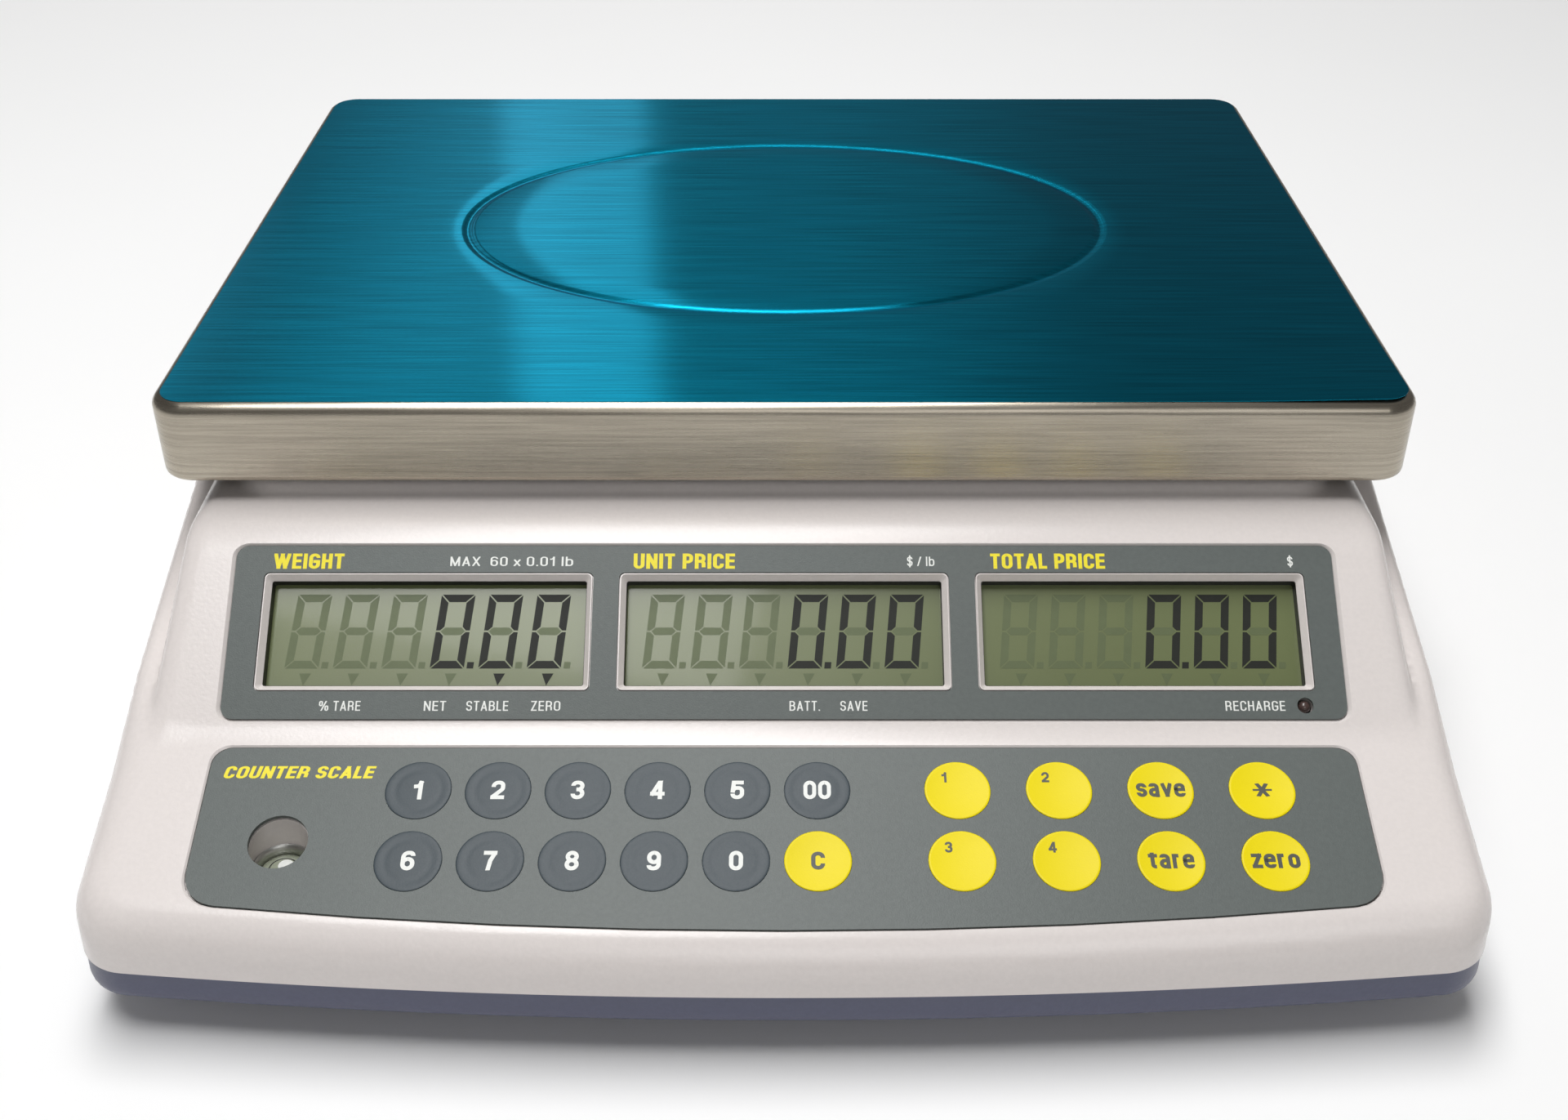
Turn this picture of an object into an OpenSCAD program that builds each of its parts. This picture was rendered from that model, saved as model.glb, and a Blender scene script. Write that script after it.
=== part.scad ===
// Price computing counter scale with a stainless pan, front and rear displays
// and a membrane keypad.
// Origin: middle of the footprint, on the counter. +X right, +Y to the rear, +Z up.

/* [Casing] */
// Half width of the casing at its front, at the split
front_half_w = 159; // [158:0.2:160]
// Half width of the casing at its rear, at the split
rear_half_w = 157.6; // [157:0.1:158]
// Half width of the casing at the height of its flat top
top_half_w = 155.2; // [154:0.1:156]
// Depth of the casing, front to back
depth = 335; // [332:1:340]
// Height of the casing's flat top above the counter
top_z = 82.2; // [81:0.1:83]
// Height of the split between base and upper casing
split_z = 20; // [19.5:0.1:20.5]
// Height of the base's underside above the counter
base_z = 10.5; // [10.2:0.1:10.8]
// Wall thickness of the mouldings
wall = 2.8; // [2.6:0.1:3]
// Radius of the bow of the front edge, seen from above
front_bow_r = 1500; // [1300:50:1800]

/* [Panels] */
// Height of the crease between keypad panel and display panel
crease_z = 49.1; // [48.5:0.1:49.5]
// Distance of the crease behind the front edge
crease_back = 54.5; // [54:0.1:55]
// Slope of the keypad panel
keypad_slope = 18; // [17.5:0.1:18.5]
// Slope of the front display panel
display_slope = 37; // [36.5:0.1:37.5]
// Lean of the rear display panel from upright
rear_lean = 16.4; // [15:0.1:18]
// Width of the display overlays
overlay_w = 266; // [264:1:268]
// Height of the display overlays
overlay_h = 43.4; // [43:0.1:44]
// Width of a display window
window_w = 77.4; // [76:0.1:78]
// Height of a display window
window_h = 27.4; // [26:0.1:28]
// Distance between display windows
window_pitch = 86; // [85:0.5:87]

/* [Keypad] */
// Diameter of a key's opening in the keypad overlay
key_hole_d = 15.3; // [15:0.1:15.6]
// Distance between number keys, and between the two rows
key_pitch = 18.3; // [18:0.1:18.6]
// Distance between function keys
function_pitch = 23.3; // [23:0.1:23.5]
// Travel of a key
key_travel = 0.5; // [0.3:0.1:0.5]

/* [Pan] */
// Width of the pan
pan_w = 309; // [300:1:310]
// Depth of the pan
pan_d = 222; // [218:1:226]
// Height of the pan's top above the counter
pan_z = 109; // [108:0.5:110]
// Height of the pan's skirt
pan_skirt = 21; // [19:0.5:22]
// Thickness of the pan's sheet steel
pan_t = 0.8; // [0.6:0.1:1]
// Distance of the pan's centre behind the origin
pan_y = 49; // [48:0.5:50]

/* [Feet] */
// Distance of the feet either side of the middle
foot_x = 128; // [126:1:130]
// Distance of the front feet before the origin
foot_front = 112; // [111:1:113]
// Distance of the rear feet behind the origin
foot_rear = 130; // [128:1:132]
// Radius of a foot's threaded stud
stud_r = 4; // [3.9:0.05:4.05]

/* [Hidden] */
number_names = ["1", "2", "3", "4", "5", "00", "6", "7", "8", "9", "0", "c"];
function_names = ["m1", "m2", "save", "star", "m3", "m4", "tare", "zero"];
// Left ends of the two groups of keys, and the upper row's place on the panel
number_key_x = -83.9;
function_key_x = 39.8;
key_row_s = -14.8;
// Each key: its name, its place across the panel, its row (0 is the upper one)
function key_row(names, across, pitch, x) = [
    for (i = [0:len(names) - 1]) [str("key_", names[i]), x + pitch * (i % across), floor(i / across)]
];
KEYS = concat(
    key_row(number_names, 6, key_pitch, number_key_x),
    key_row(function_names, 4, function_pitch, function_key_x)
);
// Each foot: its name and its place
FEET = [
    ["front_left", [-foot_x, -foot_front]],
    ["front_right", [foot_x, -foot_front]],
    ["rear_left", [-foot_x, foot_rear]],
    ["rear_right", [foot_x, foot_rear]]
];

$fn = 48;
front_y = -depth / 2;
rear_y = depth / 2;
crease_y = front_y + crease_back;
inner_floor_z = base_z + 2.6;
front_corner_z = crease_z - crease_back * tan(keypad_slope);
rear_low_z = split_z + 4;
// Depths below a panel's surface, along its normal
recess_depth = 1;
keypad_recess = 1.6;
bevel_w = 1.2;
lcd_depth = 4.6;
board_depth = 10;
// Keypad overlay: half width, top edge and middle of its bowed bottom edge
keypad_half_w = 132.8;
keypad_top_s = -3.3;
keypad_low_s = -50;
// Middle of the overlays and windows, up the slope from the crease
window_mid = 25.8;
rear_mid = 31;
// Sight hole over the bubble level, on the keypad panel
level_x = -113.8;
level_s = -28.2;
level_hole_d = 13.5;
level_y = crease_y + level_s * cos(keypad_slope);
level_tube_r = 6.8;
// Hole over the charging lamp, on the display panel
lamp_place = [123.1, 7.4];
lamp_hole_r = 1.9;
// Raised pedestal under the pan
pedestal_size = [272, 214];
pedestal_h = 3.5;
// Hole in the pedestal that the spider's boss passes through
boss_hole_r = 24;
// Load cell
cell_l = 130;
cell_w = 30;
cell_h = 22;
cell_z = 27;
cell_bolt_x = 50;
chassis_z = 18;
chassis_t = 2.5;
spider_z = 89;
// Battery, 6 V sealed lead-acid, lying on its side
battery_size = [102, 70, 47];
battery_y = 108;
// Side wall fittings
switch_y = 60;
jack_y = 95;
serial_y = 60;
port_z = 46;
// Flat pocket floors that the side fittings stand on
side_x = 155.6;

// ---------- Outline helpers ----------

function unit(v) = v / norm(v);

// Corners [x, y, radius] of a convex outline, run anticlockwise, moved in by inset
// and rounded with arcs
function outline(corners, inset = 0, steps = 6) = [
    for (i = [0:len(corners) - 1])
        let (
            n = len(corners),
            here = [corners[i].x, corners[i].y],
            before = corners[(i + n - 1) % n],
            after = corners[(i + 1) % n],
            u = unit([before.x, before.y] - here),
            v = unit([after.x, after.y] - here),
            half = acos(u * v) / 2,
            bisector = unit(u + v),
            corner = here + bisector * inset / sin(half),
            r = max(corners[i].z - inset, 0.01),
            centre = corner + bisector * r / sin(half),
            from = corner + u * r / tan(half) - centre,
            to = corner + v * r / tan(half) - centre,
            start = atan2(from.y, from.x),
            sweep = (atan2(to.y, to.x) - start + 540) % 360 - 180,
            last = corners[i].z > 0 ? steps : 0
        )
        for (k = [0:last])
            centre + r * [cos(start + sweep * k / max(last, 1)), sin(start + sweep * k / max(last, 1))]
];

function rectangle(w, h, r) = [for (c = [[-1, -1], [1, -1], [1, 1], [-1, 1]]) [c.x * w / 2, c.y * h / 2, r]];

module plate(w, h, t, r = 0) {
    linear_extrude(t) polygon(outline(rectangle(w, h, r)));
}

module along_x(half) {
    rotate([90, 0, 90]) translate([0, 0, -half]) linear_extrude(2 * half) children();
}

module along_y(half) {
    rotate([90, 0, 0]) translate([0, 0, -half]) linear_extrude(2 * half) children();
}

// Panel frames: X across, Y up the slope from the panel's lower edge, Z outwards
module on_keypad() {
    translate([0, crease_y, crease_z]) rotate([keypad_slope, 0, 0]) children();
}

module on_display() {
    translate([0, crease_y, crease_z]) rotate([display_slope, 0, 0]) children();
}

module on_rear() {
    translate([0, rear_y, rear_low_z]) rotate([0, 0, 180]) rotate([90 - rear_lean, 0, 0]) children();
}

// ---------- Casing ----------

wedge_top_y = crease_y + (top_z - crease_z) / tan(keypad_slope);
rear_top_y = rear_y - (top_z - rear_low_z) * tan(rear_lean);
display_top_y = crease_y + (top_z - crease_z) / tan(display_slope);

// The bowed front edge, as points from left to right
front_arc_half = 146;
function bow(x) = front_bow_r - sqrt(front_bow_r * front_bow_r - x * x);
front_edge = [
    for (i = [-8:8]) let (x = front_arc_half * i / 8) [x, front_y + bow(x), abs(i) == 8 ? 12 : 0]
];

plan_corners = concat(
    front_edge,
    [
        [front_half_w, front_y + 14, 12],
        [front_half_w, crease_y - 8, 0],
        [rear_half_w, rear_y, 14],
        [-rear_half_w, rear_y, 14],
        [-front_half_w, crease_y - 8, 0],
        [-front_half_w, front_y + 14, 12]
    ]
);

// Half width of the casing's side walls at a height
function side_half_w(z) = front_half_w - (front_half_w - top_half_w) * (z - split_z) / (top_z - split_z);

// Lower body: keypad slope run back to the flat top. low is the height of its open underside.
module wedge(inset, low) {
    intersection() {
        along_x(200) polygon(outline([
            [front_y, low - inset, 0],
            [rear_y, low - inset, 0],
            [rear_y, rear_low_z, 6],
            [rear_top_y, top_z, 6],
            [wedge_top_y, top_z, 40],
            [front_y, front_corner_z, 7]
        ], inset));
        linear_extrude(200) polygon(outline(plan_corners, inset));
        along_y(200) polygon(outline([
            [-side_half_w(low), low - inset, 0],
            [side_half_w(low), low - inset, 0],
            [top_half_w, top_z, 8],
            [-top_half_w, top_z, 8]
        ], inset));
    }
}

// Display block: stands on the wedge in front, and carries the sloping display panel
module display_block(inset) {
    low_half_w = 154.5;
    high_half_w = 146.8;
    intersection() {
        along_x(200) polygon(outline([
            [crease_y - 16, crease_z - 12, 0],
            [wedge_top_y + 20, crease_z - 12, 0],
            [wedge_top_y + 20, top_z, 0],
            [display_top_y, top_z, 6]
        ], inset));
        along_y(200) polygon(outline([
            [-low_half_w, crease_z - 12, 0],
            [low_half_w, crease_z - 12, 0],
            [high_half_w, top_z, 7],
            [-high_half_w, top_z, 7]
        ], inset));
    }
}

screw_places = [
    [-141, -136], [141, -136], [-144, 8], [144, 8], [-141, 150], [141, 150]
];
cover_screw_places = [[-62, battery_y], [62, battery_y]];
screw_boss_r = 4.5;
screw_shank_r = 1.7;

module display_panel_cuts(mid) {
    translate([0, mid, -recess_depth]) plate(overlay_w + 0.6, overlay_h + 0.6, 10, 3);
    for (i = [-1:1])
        translate([i * window_pitch, mid, -wall - 5]) plate(window_w, window_h, 20, 1);
}

module keypad_outline(grow) {
    half = keypad_half_w + grow;
    low_r = 1340;
    top_s = keypad_top_s + grow;
    bottom = [
        for (i = [-4:4]) let (x = (half - 8) * i / 4)
            [x, keypad_low_s - grow + low_r - sqrt(low_r * low_r - x * x), 0]
    ];
    side_s = bottom[0].y + 1.2;
    polygon(outline(concat(
        bottom,
        [[half, side_s, 8], [half, top_s, 4.5], [-half, top_s, 4.5], [-half, side_s, 8]]
    )));
}

module side_port_cuts() {
    translate([side_x, switch_y, port_z]) rotate([90, 0, 90]) plate(22.4, 16, 10, 1.5);
    translate([side_x, jack_y, port_z]) rotate([0, 90, 0]) cylinder(r = 7.6, h = 10);
    translate([-side_x, serial_y, port_z]) rotate([90, 0, -90]) plate(35, 16, 10, 2);
    translate([side_x, switch_y, port_z]) cube([16, 19.6, 13.4], center = true);
    translate([side_x, jack_y, port_z]) rotate([0, 90, 0]) cylinder(r = 5.6, h = 20, center = true);
    translate([-side_x, serial_y, port_z]) cube([16, 17.6, 9], center = true);
    for (y = [-12.5, 12.5])
        translate([-side_x, serial_y + y, port_z]) rotate([0, 90, 0])
            cylinder(r = 1.7, h = 20, center = true);
}

module top_housing() {
    color([0.9, 0.88, 0.87])
    difference() {
        union() {
            difference() {
                union() {
                    wedge(0, split_z);
                    display_block(0);
                    translate([0, pan_y, top_z - 1])
                        plate(pedestal_size.x, pedestal_size.y, pedestal_h + 1, 9);
                }
                union() {
                    wedge(wall, split_z - 10);
                    display_block(wall);
                }
            }
            intersection() {
                union() {
                    for (p = screw_places)
                        translate([p.x, p.y, split_z + 0.2]) cylinder(r = screw_boss_r, h = 70);
                    translate([level_x, level_y, 31]) cylinder(r = level_tube_r + 1.6, h = 20);
                }
                wedge(1, split_z - 10);
            }
        }
        for (p = screw_places)
            translate([p.x, p.y, split_z - 1]) cylinder(r = screw_shank_r + 0.1, h = 12);
        on_display() display_panel_cuts(window_mid);
        on_rear() display_panel_cuts(rear_mid);
        on_display() translate([lamp_place.x, lamp_place.y, -8]) cylinder(r = lamp_hole_r, h = 10);
        on_keypad() translate([0, 0, -keypad_recess]) linear_extrude(10) keypad_outline(0.3);
        translate([level_x, level_y, 26]) cylinder(r = level_tube_r, h = 30);
        translate([cell_bolt_x, pan_y, top_z - 10]) cylinder(r = boss_hole_r, h = 20);
        side_port_cuts();
    }
}

module base_housing() {
    color([0.33, 0.34, 0.43])
    difference() {
        union() {
            difference() {
                intersection() {
                    translate([0, 0, base_z]) linear_extrude(split_z - base_z - 0.1)
                        polygon(outline(plan_corners, 0.5));
                    along_x(200) polygon(outline([
                        [front_y + 2.4, base_z, 2], [rear_y - 2.4, base_z, 2],
                        [rear_y - 0.5, split_z, 0], [front_y + 0.5, split_z, 0]
                    ]));
                    along_y(200) polygon(outline([
                        [-154, base_z, 3], [154, base_z, 3],
                        [front_half_w - 0.5, split_z, 0], [-front_half_w + 0.5, split_z, 0]
                    ]));
                }
                translate([0, 0, inner_floor_z]) linear_extrude(20) polygon(outline(plan_corners, 6));
            }
            // Tongue that locates the upper casing
            difference() {
                translate([0, 0, inner_floor_z]) linear_extrude(split_z + 2 - inner_floor_z)
                    polygon(outline(plan_corners, 4.5));
                translate([0, 0, inner_floor_z]) linear_extrude(20) polygon(outline(plan_corners, 6.5));
            }
            for (p = screw_places)
                translate([p.x, p.y, base_z + 0.5]) cylinder(r = screw_boss_r, h = split_z - base_z - 0.5);
            for (p = cover_screw_places)
                translate([p.x, p.y, inner_floor_z - 0.5]) cylinder(r = screw_boss_r, h = 14.5);
            for (x = [-90, 90], y = [-90, 40])
                translate([x, y, inner_floor_z - 0.5]) cylinder(r = 6, h = chassis_z - inner_floor_z + 0.5);
            // Seat of the bubble level
            translate([level_x, level_y, inner_floor_z - 0.5]) cylinder(r = 8, h = 7.5);
        }
        for (p = screw_places) {
            translate([p.x, p.y, base_z - 1]) cylinder(r = 2, h = 12);
            translate([p.x, p.y, base_z - 1]) cylinder(r = 3.8, h = 3.6);
        }
        for (p = cover_screw_places)
            translate([p.x, p.y, base_z - 1]) cylinder(r = screw_shank_r + 0.1, h = 18);
        for (f = FEET)
            translate([f[1].x, f[1].y, base_z - 1]) cylinder(r = 5.5, h = 12);
        translate([0, battery_y, base_z - 1]) plate(106, 73, 12, 3);
        translate([0, battery_y, base_z - 1]) battery_flange(0.3, 2.3);
    }
}

module battery_flange(grow, t) {
    linear_extrude(t) union() {
        polygon(outline(rectangle(114 + 2 * grow, 82 + 2 * grow, 4)));
        for (p = cover_screw_places)
            translate([p.x, 0]) circle(r = 7 + grow);
    }
}

module battery_cover() {
    color([0.33, 0.34, 0.43])
    difference() {
        union() {
            translate([0, battery_y, base_z]) battery_flange(0, 1.2);
            translate([0, battery_y, base_z]) plate(105.2, 72.2, inner_floor_z - base_z, 3);
            // Finger ribs
            for (i = [-3:3])
                translate([i * 5, battery_y - 28, base_z - 0.6]) plate(2, 10, 1, 0.9);
        }
        for (p = cover_screw_places)
            translate([p.x, p.y, base_z - 1]) cylinder(r = 2, h = 4);
    }
}

module screw(length) {
    difference() {
        union() {
            cylinder(r = screw_shank_r, h = length);
            cylinder(r = 3.2, h = 1.8);
        }
        // Cross recess
        for (a = [0, 90])
            rotate([0, 0, a]) translate([-2, -0.4, -0.1]) cube([4, 0.8, 1.3]);
    }
}

module housing_screws() {
    color([0.75, 0.76, 0.78]) {
        for (p = screw_places)
            translate([p.x, p.y, base_z + 0.75]) screw(16);
        for (p = cover_screw_places)
            translate([p.x, p.y, base_z - 1.85]) screw(16);
    }
}

// ---------- Frame and weighing parts ----------

bush_r = 9;

module chassis_plate() {
    color([0.7, 0.71, 0.72])
    difference() {
        union() {
            translate([0, 8, chassis_z]) plate(278, 268, chassis_t, 10);
            for (f = FEET)
                translate([f[1].x, f[1].y, inner_floor_z + 0.2]) cylinder(r = bush_r, h = 13);
            for (x = [-62, 62], y = [-92, -24])
                translate([x, y, chassis_z]) cylinder(r = 3, h = 8);
            // Overload stop under the load cell's free end
            translate([cell_bolt_x + 8, pan_y, chassis_z]) cylinder(r = 4, h = cell_z - chassis_z - 0.9);
        }
        translate([0, 112, chassis_z - 1]) plate(140, 82, 20, 6);
        for (f = FEET)
            translate([f[1].x, f[1].y, 0]) cylinder(r = stud_r + 0.05, h = 60);
        for (dx = [-8, 8])
            translate([-cell_bolt_x + dx, pan_y, 0]) cylinder(r = 3.2, h = 30);
        for (x = [-62, 62], y = [-92, -24])
            translate([x, y, chassis_z - 1]) cylinder(r = 1.25, h = 12);
    }
}

module load_cell_spacer() {
    color([0.62, 0.63, 0.65])
    difference() {
        translate([-cell_bolt_x, pan_y, chassis_z + chassis_t])
            plate(30, 30, cell_z - chassis_z - chassis_t, 1);
        for (dx = [-8, 8])
            translate([-cell_bolt_x + dx, pan_y, 0]) cylinder(r = 3.2, h = 40);
    }
}

// Single point aluminium cell with its twin-bore flexure
module load_cell() {
    color([0.8, 0.81, 0.82])
    difference() {
        translate([0, pan_y, cell_z]) plate(cell_l, cell_w, cell_h, 1);
        for (dx = [-14, 14])
            translate([dx, pan_y, cell_z + cell_h / 2]) rotate([90, 0, 0])
                cylinder(r = 8, h = 40, center = true);
        translate([0, pan_y, cell_z + cell_h / 2]) cube([28, 40, 6], center = true);
        for (x = [-cell_bolt_x, cell_bolt_x], dx = [-8, 8])
            translate([x + dx, pan_y, 0]) cylinder(r = 3, h = 80);
    }
}

module bolt(head_up, length) {
    mirror([0, 0, head_up ? 1 : 0]) {
        cylinder(r = 2.95, h = length);
        difference() {
            translate([0, 0, -4]) cylinder(r = 4.9, h = 4);
            translate([0, 0, -5]) cylinder(r = 2.8, h = 3.4, $fn = 6);
        }
    }
}

module load_cell_bolts() {
    color([0.5, 0.5, 0.52])
    for (dx = [-8, 8])
        translate([-cell_bolt_x + dx, pan_y, chassis_z]) bolt(false, 22);
}

boss_top_z = 62;

module spider_bolts() {
    color([0.5, 0.5, 0.52])
    for (dx = [-8, 8])
        translate([cell_bolt_x + dx, pan_y, boss_top_z]) bolt(true, 28);
}

// Thin screened cable from the cell's fixed end to the main board, clipped along its way
cable_route = [
    [-66, 49, 34], [-70, 49, 34], [-75, 46, 34], [-77, 40, 34], [-77, 30, 33], [-76, 15, 32],
    [-75, 0, 31], [-74, -10, 30], [-72, -16, 30], [-68, -20, 29.4], [-64, -24, 29.4], [-62, -27, 29.4]
];

// Two directions across the path at its point i
function ring_frame(path, i) = let (
    t = unit(path[min(i + 1, len(path) - 1)] - path[max(i - 1, 0)]),
    side = unit(cross(t, [0, 0, 1]))
) [side, cross(side, t)];

module tube(path, r, sides = 8) {
    n = len(path);
    points = [for (i = [0:n - 1], k = [0:sides - 1]) let (f = ring_frame(path, i), a = 360 * k / sides)
        path[i] + r * (cos(a) * f[0] + sin(a) * f[1])];
    walls = [for (i = [0:n - 2], k = [0:sides - 1])
        let (next = (k + 1) % sides, a = i * sides, b = a + sides) [a + k, a + next, b + next, b + k]];
    first = [for (k = [sides - 1:-1:0]) k];
    last = [for (k = [0:sides - 1]) (n - 1) * sides + k];
    polyhedron(points, concat([first], walls, [last]));
}

module load_cell_cable() {
    color([0.3, 0.3, 0.32]) tube(cable_route, 1.5);
}

arm_reach = [115, 75];

module arm_ends() {
    for (x = [-arm_reach.x, arm_reach.x], y = [-arm_reach.y, arm_reach.y])
        translate([x, y]) children();
}

module spider() {
    arm_l = norm(arm_reach);
    arm_a = atan2(arm_reach.y, arm_reach.x);
    color([0.72, 0.73, 0.75])
    difference() {
        union() {
            translate([0, pan_y, spider_z]) linear_extrude(10) difference() {
                union() {
                    square([142, 46], center = true);
                    for (a = [arm_a, -arm_a])
                        rotate(a) square([2 * arm_l, 16], center = true);
                    arm_ends() circle(r = 10);
                }
                arm_ends() circle(r = 3);
            }
            translate([cell_bolt_x, pan_y, cell_z + cell_h])
                cylinder(r = 18, h = spider_z - cell_z - cell_h + 1);
        }
        for (dx = [-8, 8]) {
            translate([cell_bolt_x + dx, pan_y, 40]) cylinder(r = 3.2, h = 40);
            translate([cell_bolt_x + dx, pan_y, boss_top_z]) cylinder(r = 5.4, h = 60);
        }
    }
}

module spider_bumpers() {
    color([0.16, 0.16, 0.17])
    translate([0, pan_y, spider_z]) arm_ends() {
        translate([0, 0, 0.5]) cylinder(r = 2.9, h = 10);
        translate([0, 0, 10]) cylinder(r = 8, h = pan_z - pan_t - spider_z - 10 - 0.05);
    }
}

module platter() {
    color([0.72, 0.71, 0.69])
    difference() {
        translate([0, pan_y, pan_z - pan_skirt]) plate(pan_w, pan_d, pan_skirt, 9);
        translate([0, pan_y, pan_z - pan_skirt - 1])
            plate(pan_w - 2 * pan_t, pan_d - 2 * pan_t, pan_skirt + 1 - pan_t, 8.2);
    }
}

module protective_film() {
    color([0.05, 0.35, 0.5])
    translate([0, pan_y, pan_z]) plate(pan_w - 5, pan_d - 5, 0.2, 7);
}

// ---------- Displays ----------

module display_sheet(mid, led) {
    difference() {
        translate([0, mid, -recess_depth]) plate(overlay_w, overlay_h, 0.8, 3);
        for (i = [-1:1])
            translate([i * window_pitch, mid, -5])
                plate(window_w + 2 * bevel_w, window_h + 2 * bevel_w, 10, 1.5);
        if (led) translate([lamp_place.x, lamp_place.y, -5]) cylinder(r = lamp_hole_r, h = 10);
    }
}

module display_overlay() {
    color([0.5, 0.53, 0.52]) on_display() display_sheet(window_mid, true);
}

module rear_overlay() {
    color([0.5, 0.53, 0.52]) on_rear() display_sheet(rear_mid, false);
}

// Glass cell on its frame, front face up
module lcd(i, mid) {
    translate([i * window_pitch, mid, 0]) {
        translate([0, 0, -lcd_depth - 2.8]) plate(84, 32.6, 2.8, 0.6);
        translate([0, 0, -board_depth]) plate(82, 30, board_depth - lcd_depth - 2.8, 0.6);
    }
}

module lcd_weight() {
    color([0.47, 0.5, 0.36]) on_display() lcd(-1, window_mid);
}

module lcd_unit_price() {
    color([0.47, 0.5, 0.36]) on_display() lcd(0, window_mid);
}

module lcd_total_price() {
    color([0.47, 0.5, 0.36]) on_display() lcd(1, window_mid);
}

module rear_lcds() {
    color([0.47, 0.5, 0.36]) on_rear() for (i = [-1:1]) lcd(i, rear_mid);
}

module display_board(mid) {
    translate([0, mid, -board_depth - 1.6]) plate(262, 38, 1.6, 2);
}

module display_boards() {
    color([0.1, 0.35, 0.2]) {
        on_display() display_board(window_mid);
        on_rear() display_board(rear_mid);
    }
}

module charge_led() {
    color([0.5, 0.1, 0.08]) on_display() translate([lamp_place.x, lamp_place.y, -board_depth]) {
        cylinder(r = 1.5, h = board_depth - 1.8);
        cylinder(r = 1.8, h = 5);
        translate([0, 0, board_depth - 1.8]) intersection() {
            sphere(r = 1.5);
            cylinder(r = 2, h = 2);
        }
    }
}

// ---------- Keypad ----------

// The circuit sheet leaves the keys their travel and 0.3 to spare
circuit_t = keypad_recess - 0.3 - key_travel - 0.3;

module keypad_overlay() {
    color([0.5, 0.53, 0.52]) on_keypad() difference() {
        translate([0, 0, -keypad_recess + circuit_t])
            linear_extrude(keypad_recess - circuit_t - 0.1) keypad_outline(0);
        for (k = KEYS)
            translate([k[1], key_row_s - key_pitch * k[2], -5]) cylinder(r = key_hole_d / 2, h = 10);
        translate([level_x, level_s, -5]) cylinder(r = level_hole_d / 2, h = 10);
    }
}

module keypad_circuit() {
    color([0.75, 0.78, 0.8]) on_keypad() difference() {
        translate([0, 0, -keypad_recess]) linear_extrude(circuit_t) keypad_outline(-1);
        translate([level_x, level_s, -5]) cylinder(r = 8.5, h = 10);
    }
}

module key(k) {
    grey = search([k[0]], [for (i = [0:10]) str("key_", number_names[i])])[0] != [];
    color(grey ? [0.37, 0.42, 0.45] : [0.91, 0.85, 0])
    on_keypad() translate([k[1], key_row_s - key_pitch * k[2], -0.3])
        cylinder(r = key_hole_d / 2 - 0.3, h = 0.6);
}

// ---------- Bubble level ----------

level_seat_z = inner_floor_z + 7;

module level_vial() {
    color([0.85, 0.86, 0.86])
    translate([level_x, level_y, level_seat_z]) difference() {
        cylinder(r = 7.2, h = 8);
        translate([0, 0, 2]) cylinder(r = 5.6, h = 10);
    }
}

module level_lens() {
    color([0.8, 0.9, 0.7])
    translate([level_x, level_y, level_seat_z + 2]) {
        cylinder(r = 5.55, h = 6);
        translate([0, 0, 6]) cylinder(r = 6.4, h = 1.2);
    }
}

// ---------- Electronics ----------

board_z = chassis_z + 8;

module main_board() {
    color([0.1, 0.35, 0.2])
    translate([0, -58, board_z]) difference() {
        union() {
            plate(136, 80, 1.6, 2);
            translate([10, 10, 1]) plate(14, 14, 2, 0.5);
            translate([-30, -18, 1]) plate(22, 9, 3, 0.5);
            translate([30, -20, 1]) plate(22, 7, 7, 0.5);
            translate([-55, 28, 1]) plate(12, 7, 8, 0.5);
            for (x = [44, 56])
                translate([x, 14, 1]) cylinder(r = 4, h = 11);
        }
        for (x = [-62, 62], y = [-34, 34])
            translate([x, y, -1]) cylinder(r = 1.6, h = 4);
    }
}

module battery() {
    color([0.2, 0.21, 0.24])
    translate([0, battery_y, inner_floor_z + 0.3]) {
        plate(battery_size.x, battery_size.y, battery_size.z, 2);
        for (x = [-30, -10])
            translate([x, 20, battery_size.z - 1]) plate(6.3, 0.8, 7, 0);
    }
}

module power_switch_body() {
    color([0.08, 0.08, 0.09])
    translate([side_x, switch_y, port_z]) difference() {
        union() {
            translate([0.75, 0, 0]) cube([1.5, 21.4, 15], center = true);
            translate([-6.5, 0, 0]) cube([14, 19.2, 13], center = true);
            for (y = [-6, 0, 6])
                translate([-16.5, y, 0]) cube([8, 0.8, 4.8], center = true);
        }
        translate([-2.5, 0, 0]) cube([9.2, 17, 10.8], center = true);
        translate([-2, 0, 0]) cylinder(r = 1.25, h = 12.8, center = true);
    }
}

rocker_tilt = 9;

module power_rocker() {
    color([0.08, 0.08, 0.09])
    translate([side_x - 2, switch_y, port_z]) rotate([0, 0, -rocker_tilt]) union() {
        difference() {
            translate([0.7, 0, 0]) cube([5.2, 14.6, 10.2], center = true);
            // Finger dish
            translate([21.8, 0, 0]) cylinder(r = 20, h = 20, center = true, $fn = 96);
        }
        cylinder(r = 1.2, h = 12.2, center = true);
    }
}

module dc_jack() {
    color([0.1, 0.1, 0.11])
    translate([side_x, jack_y, port_z]) rotate([0, 90, 0]) {
        difference() {
            union() {
                translate([0, 0, -16]) cylinder(r = 5.4, h = 17);
                cylinder(r = 7, h = 1.4);
            }
            translate([0, 0, -9]) cylinder(r = 2.85, h = 20);
        }
        translate([0, 0, -10]) cylinder(r = 1, h = 9.5);
    }
}

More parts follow.
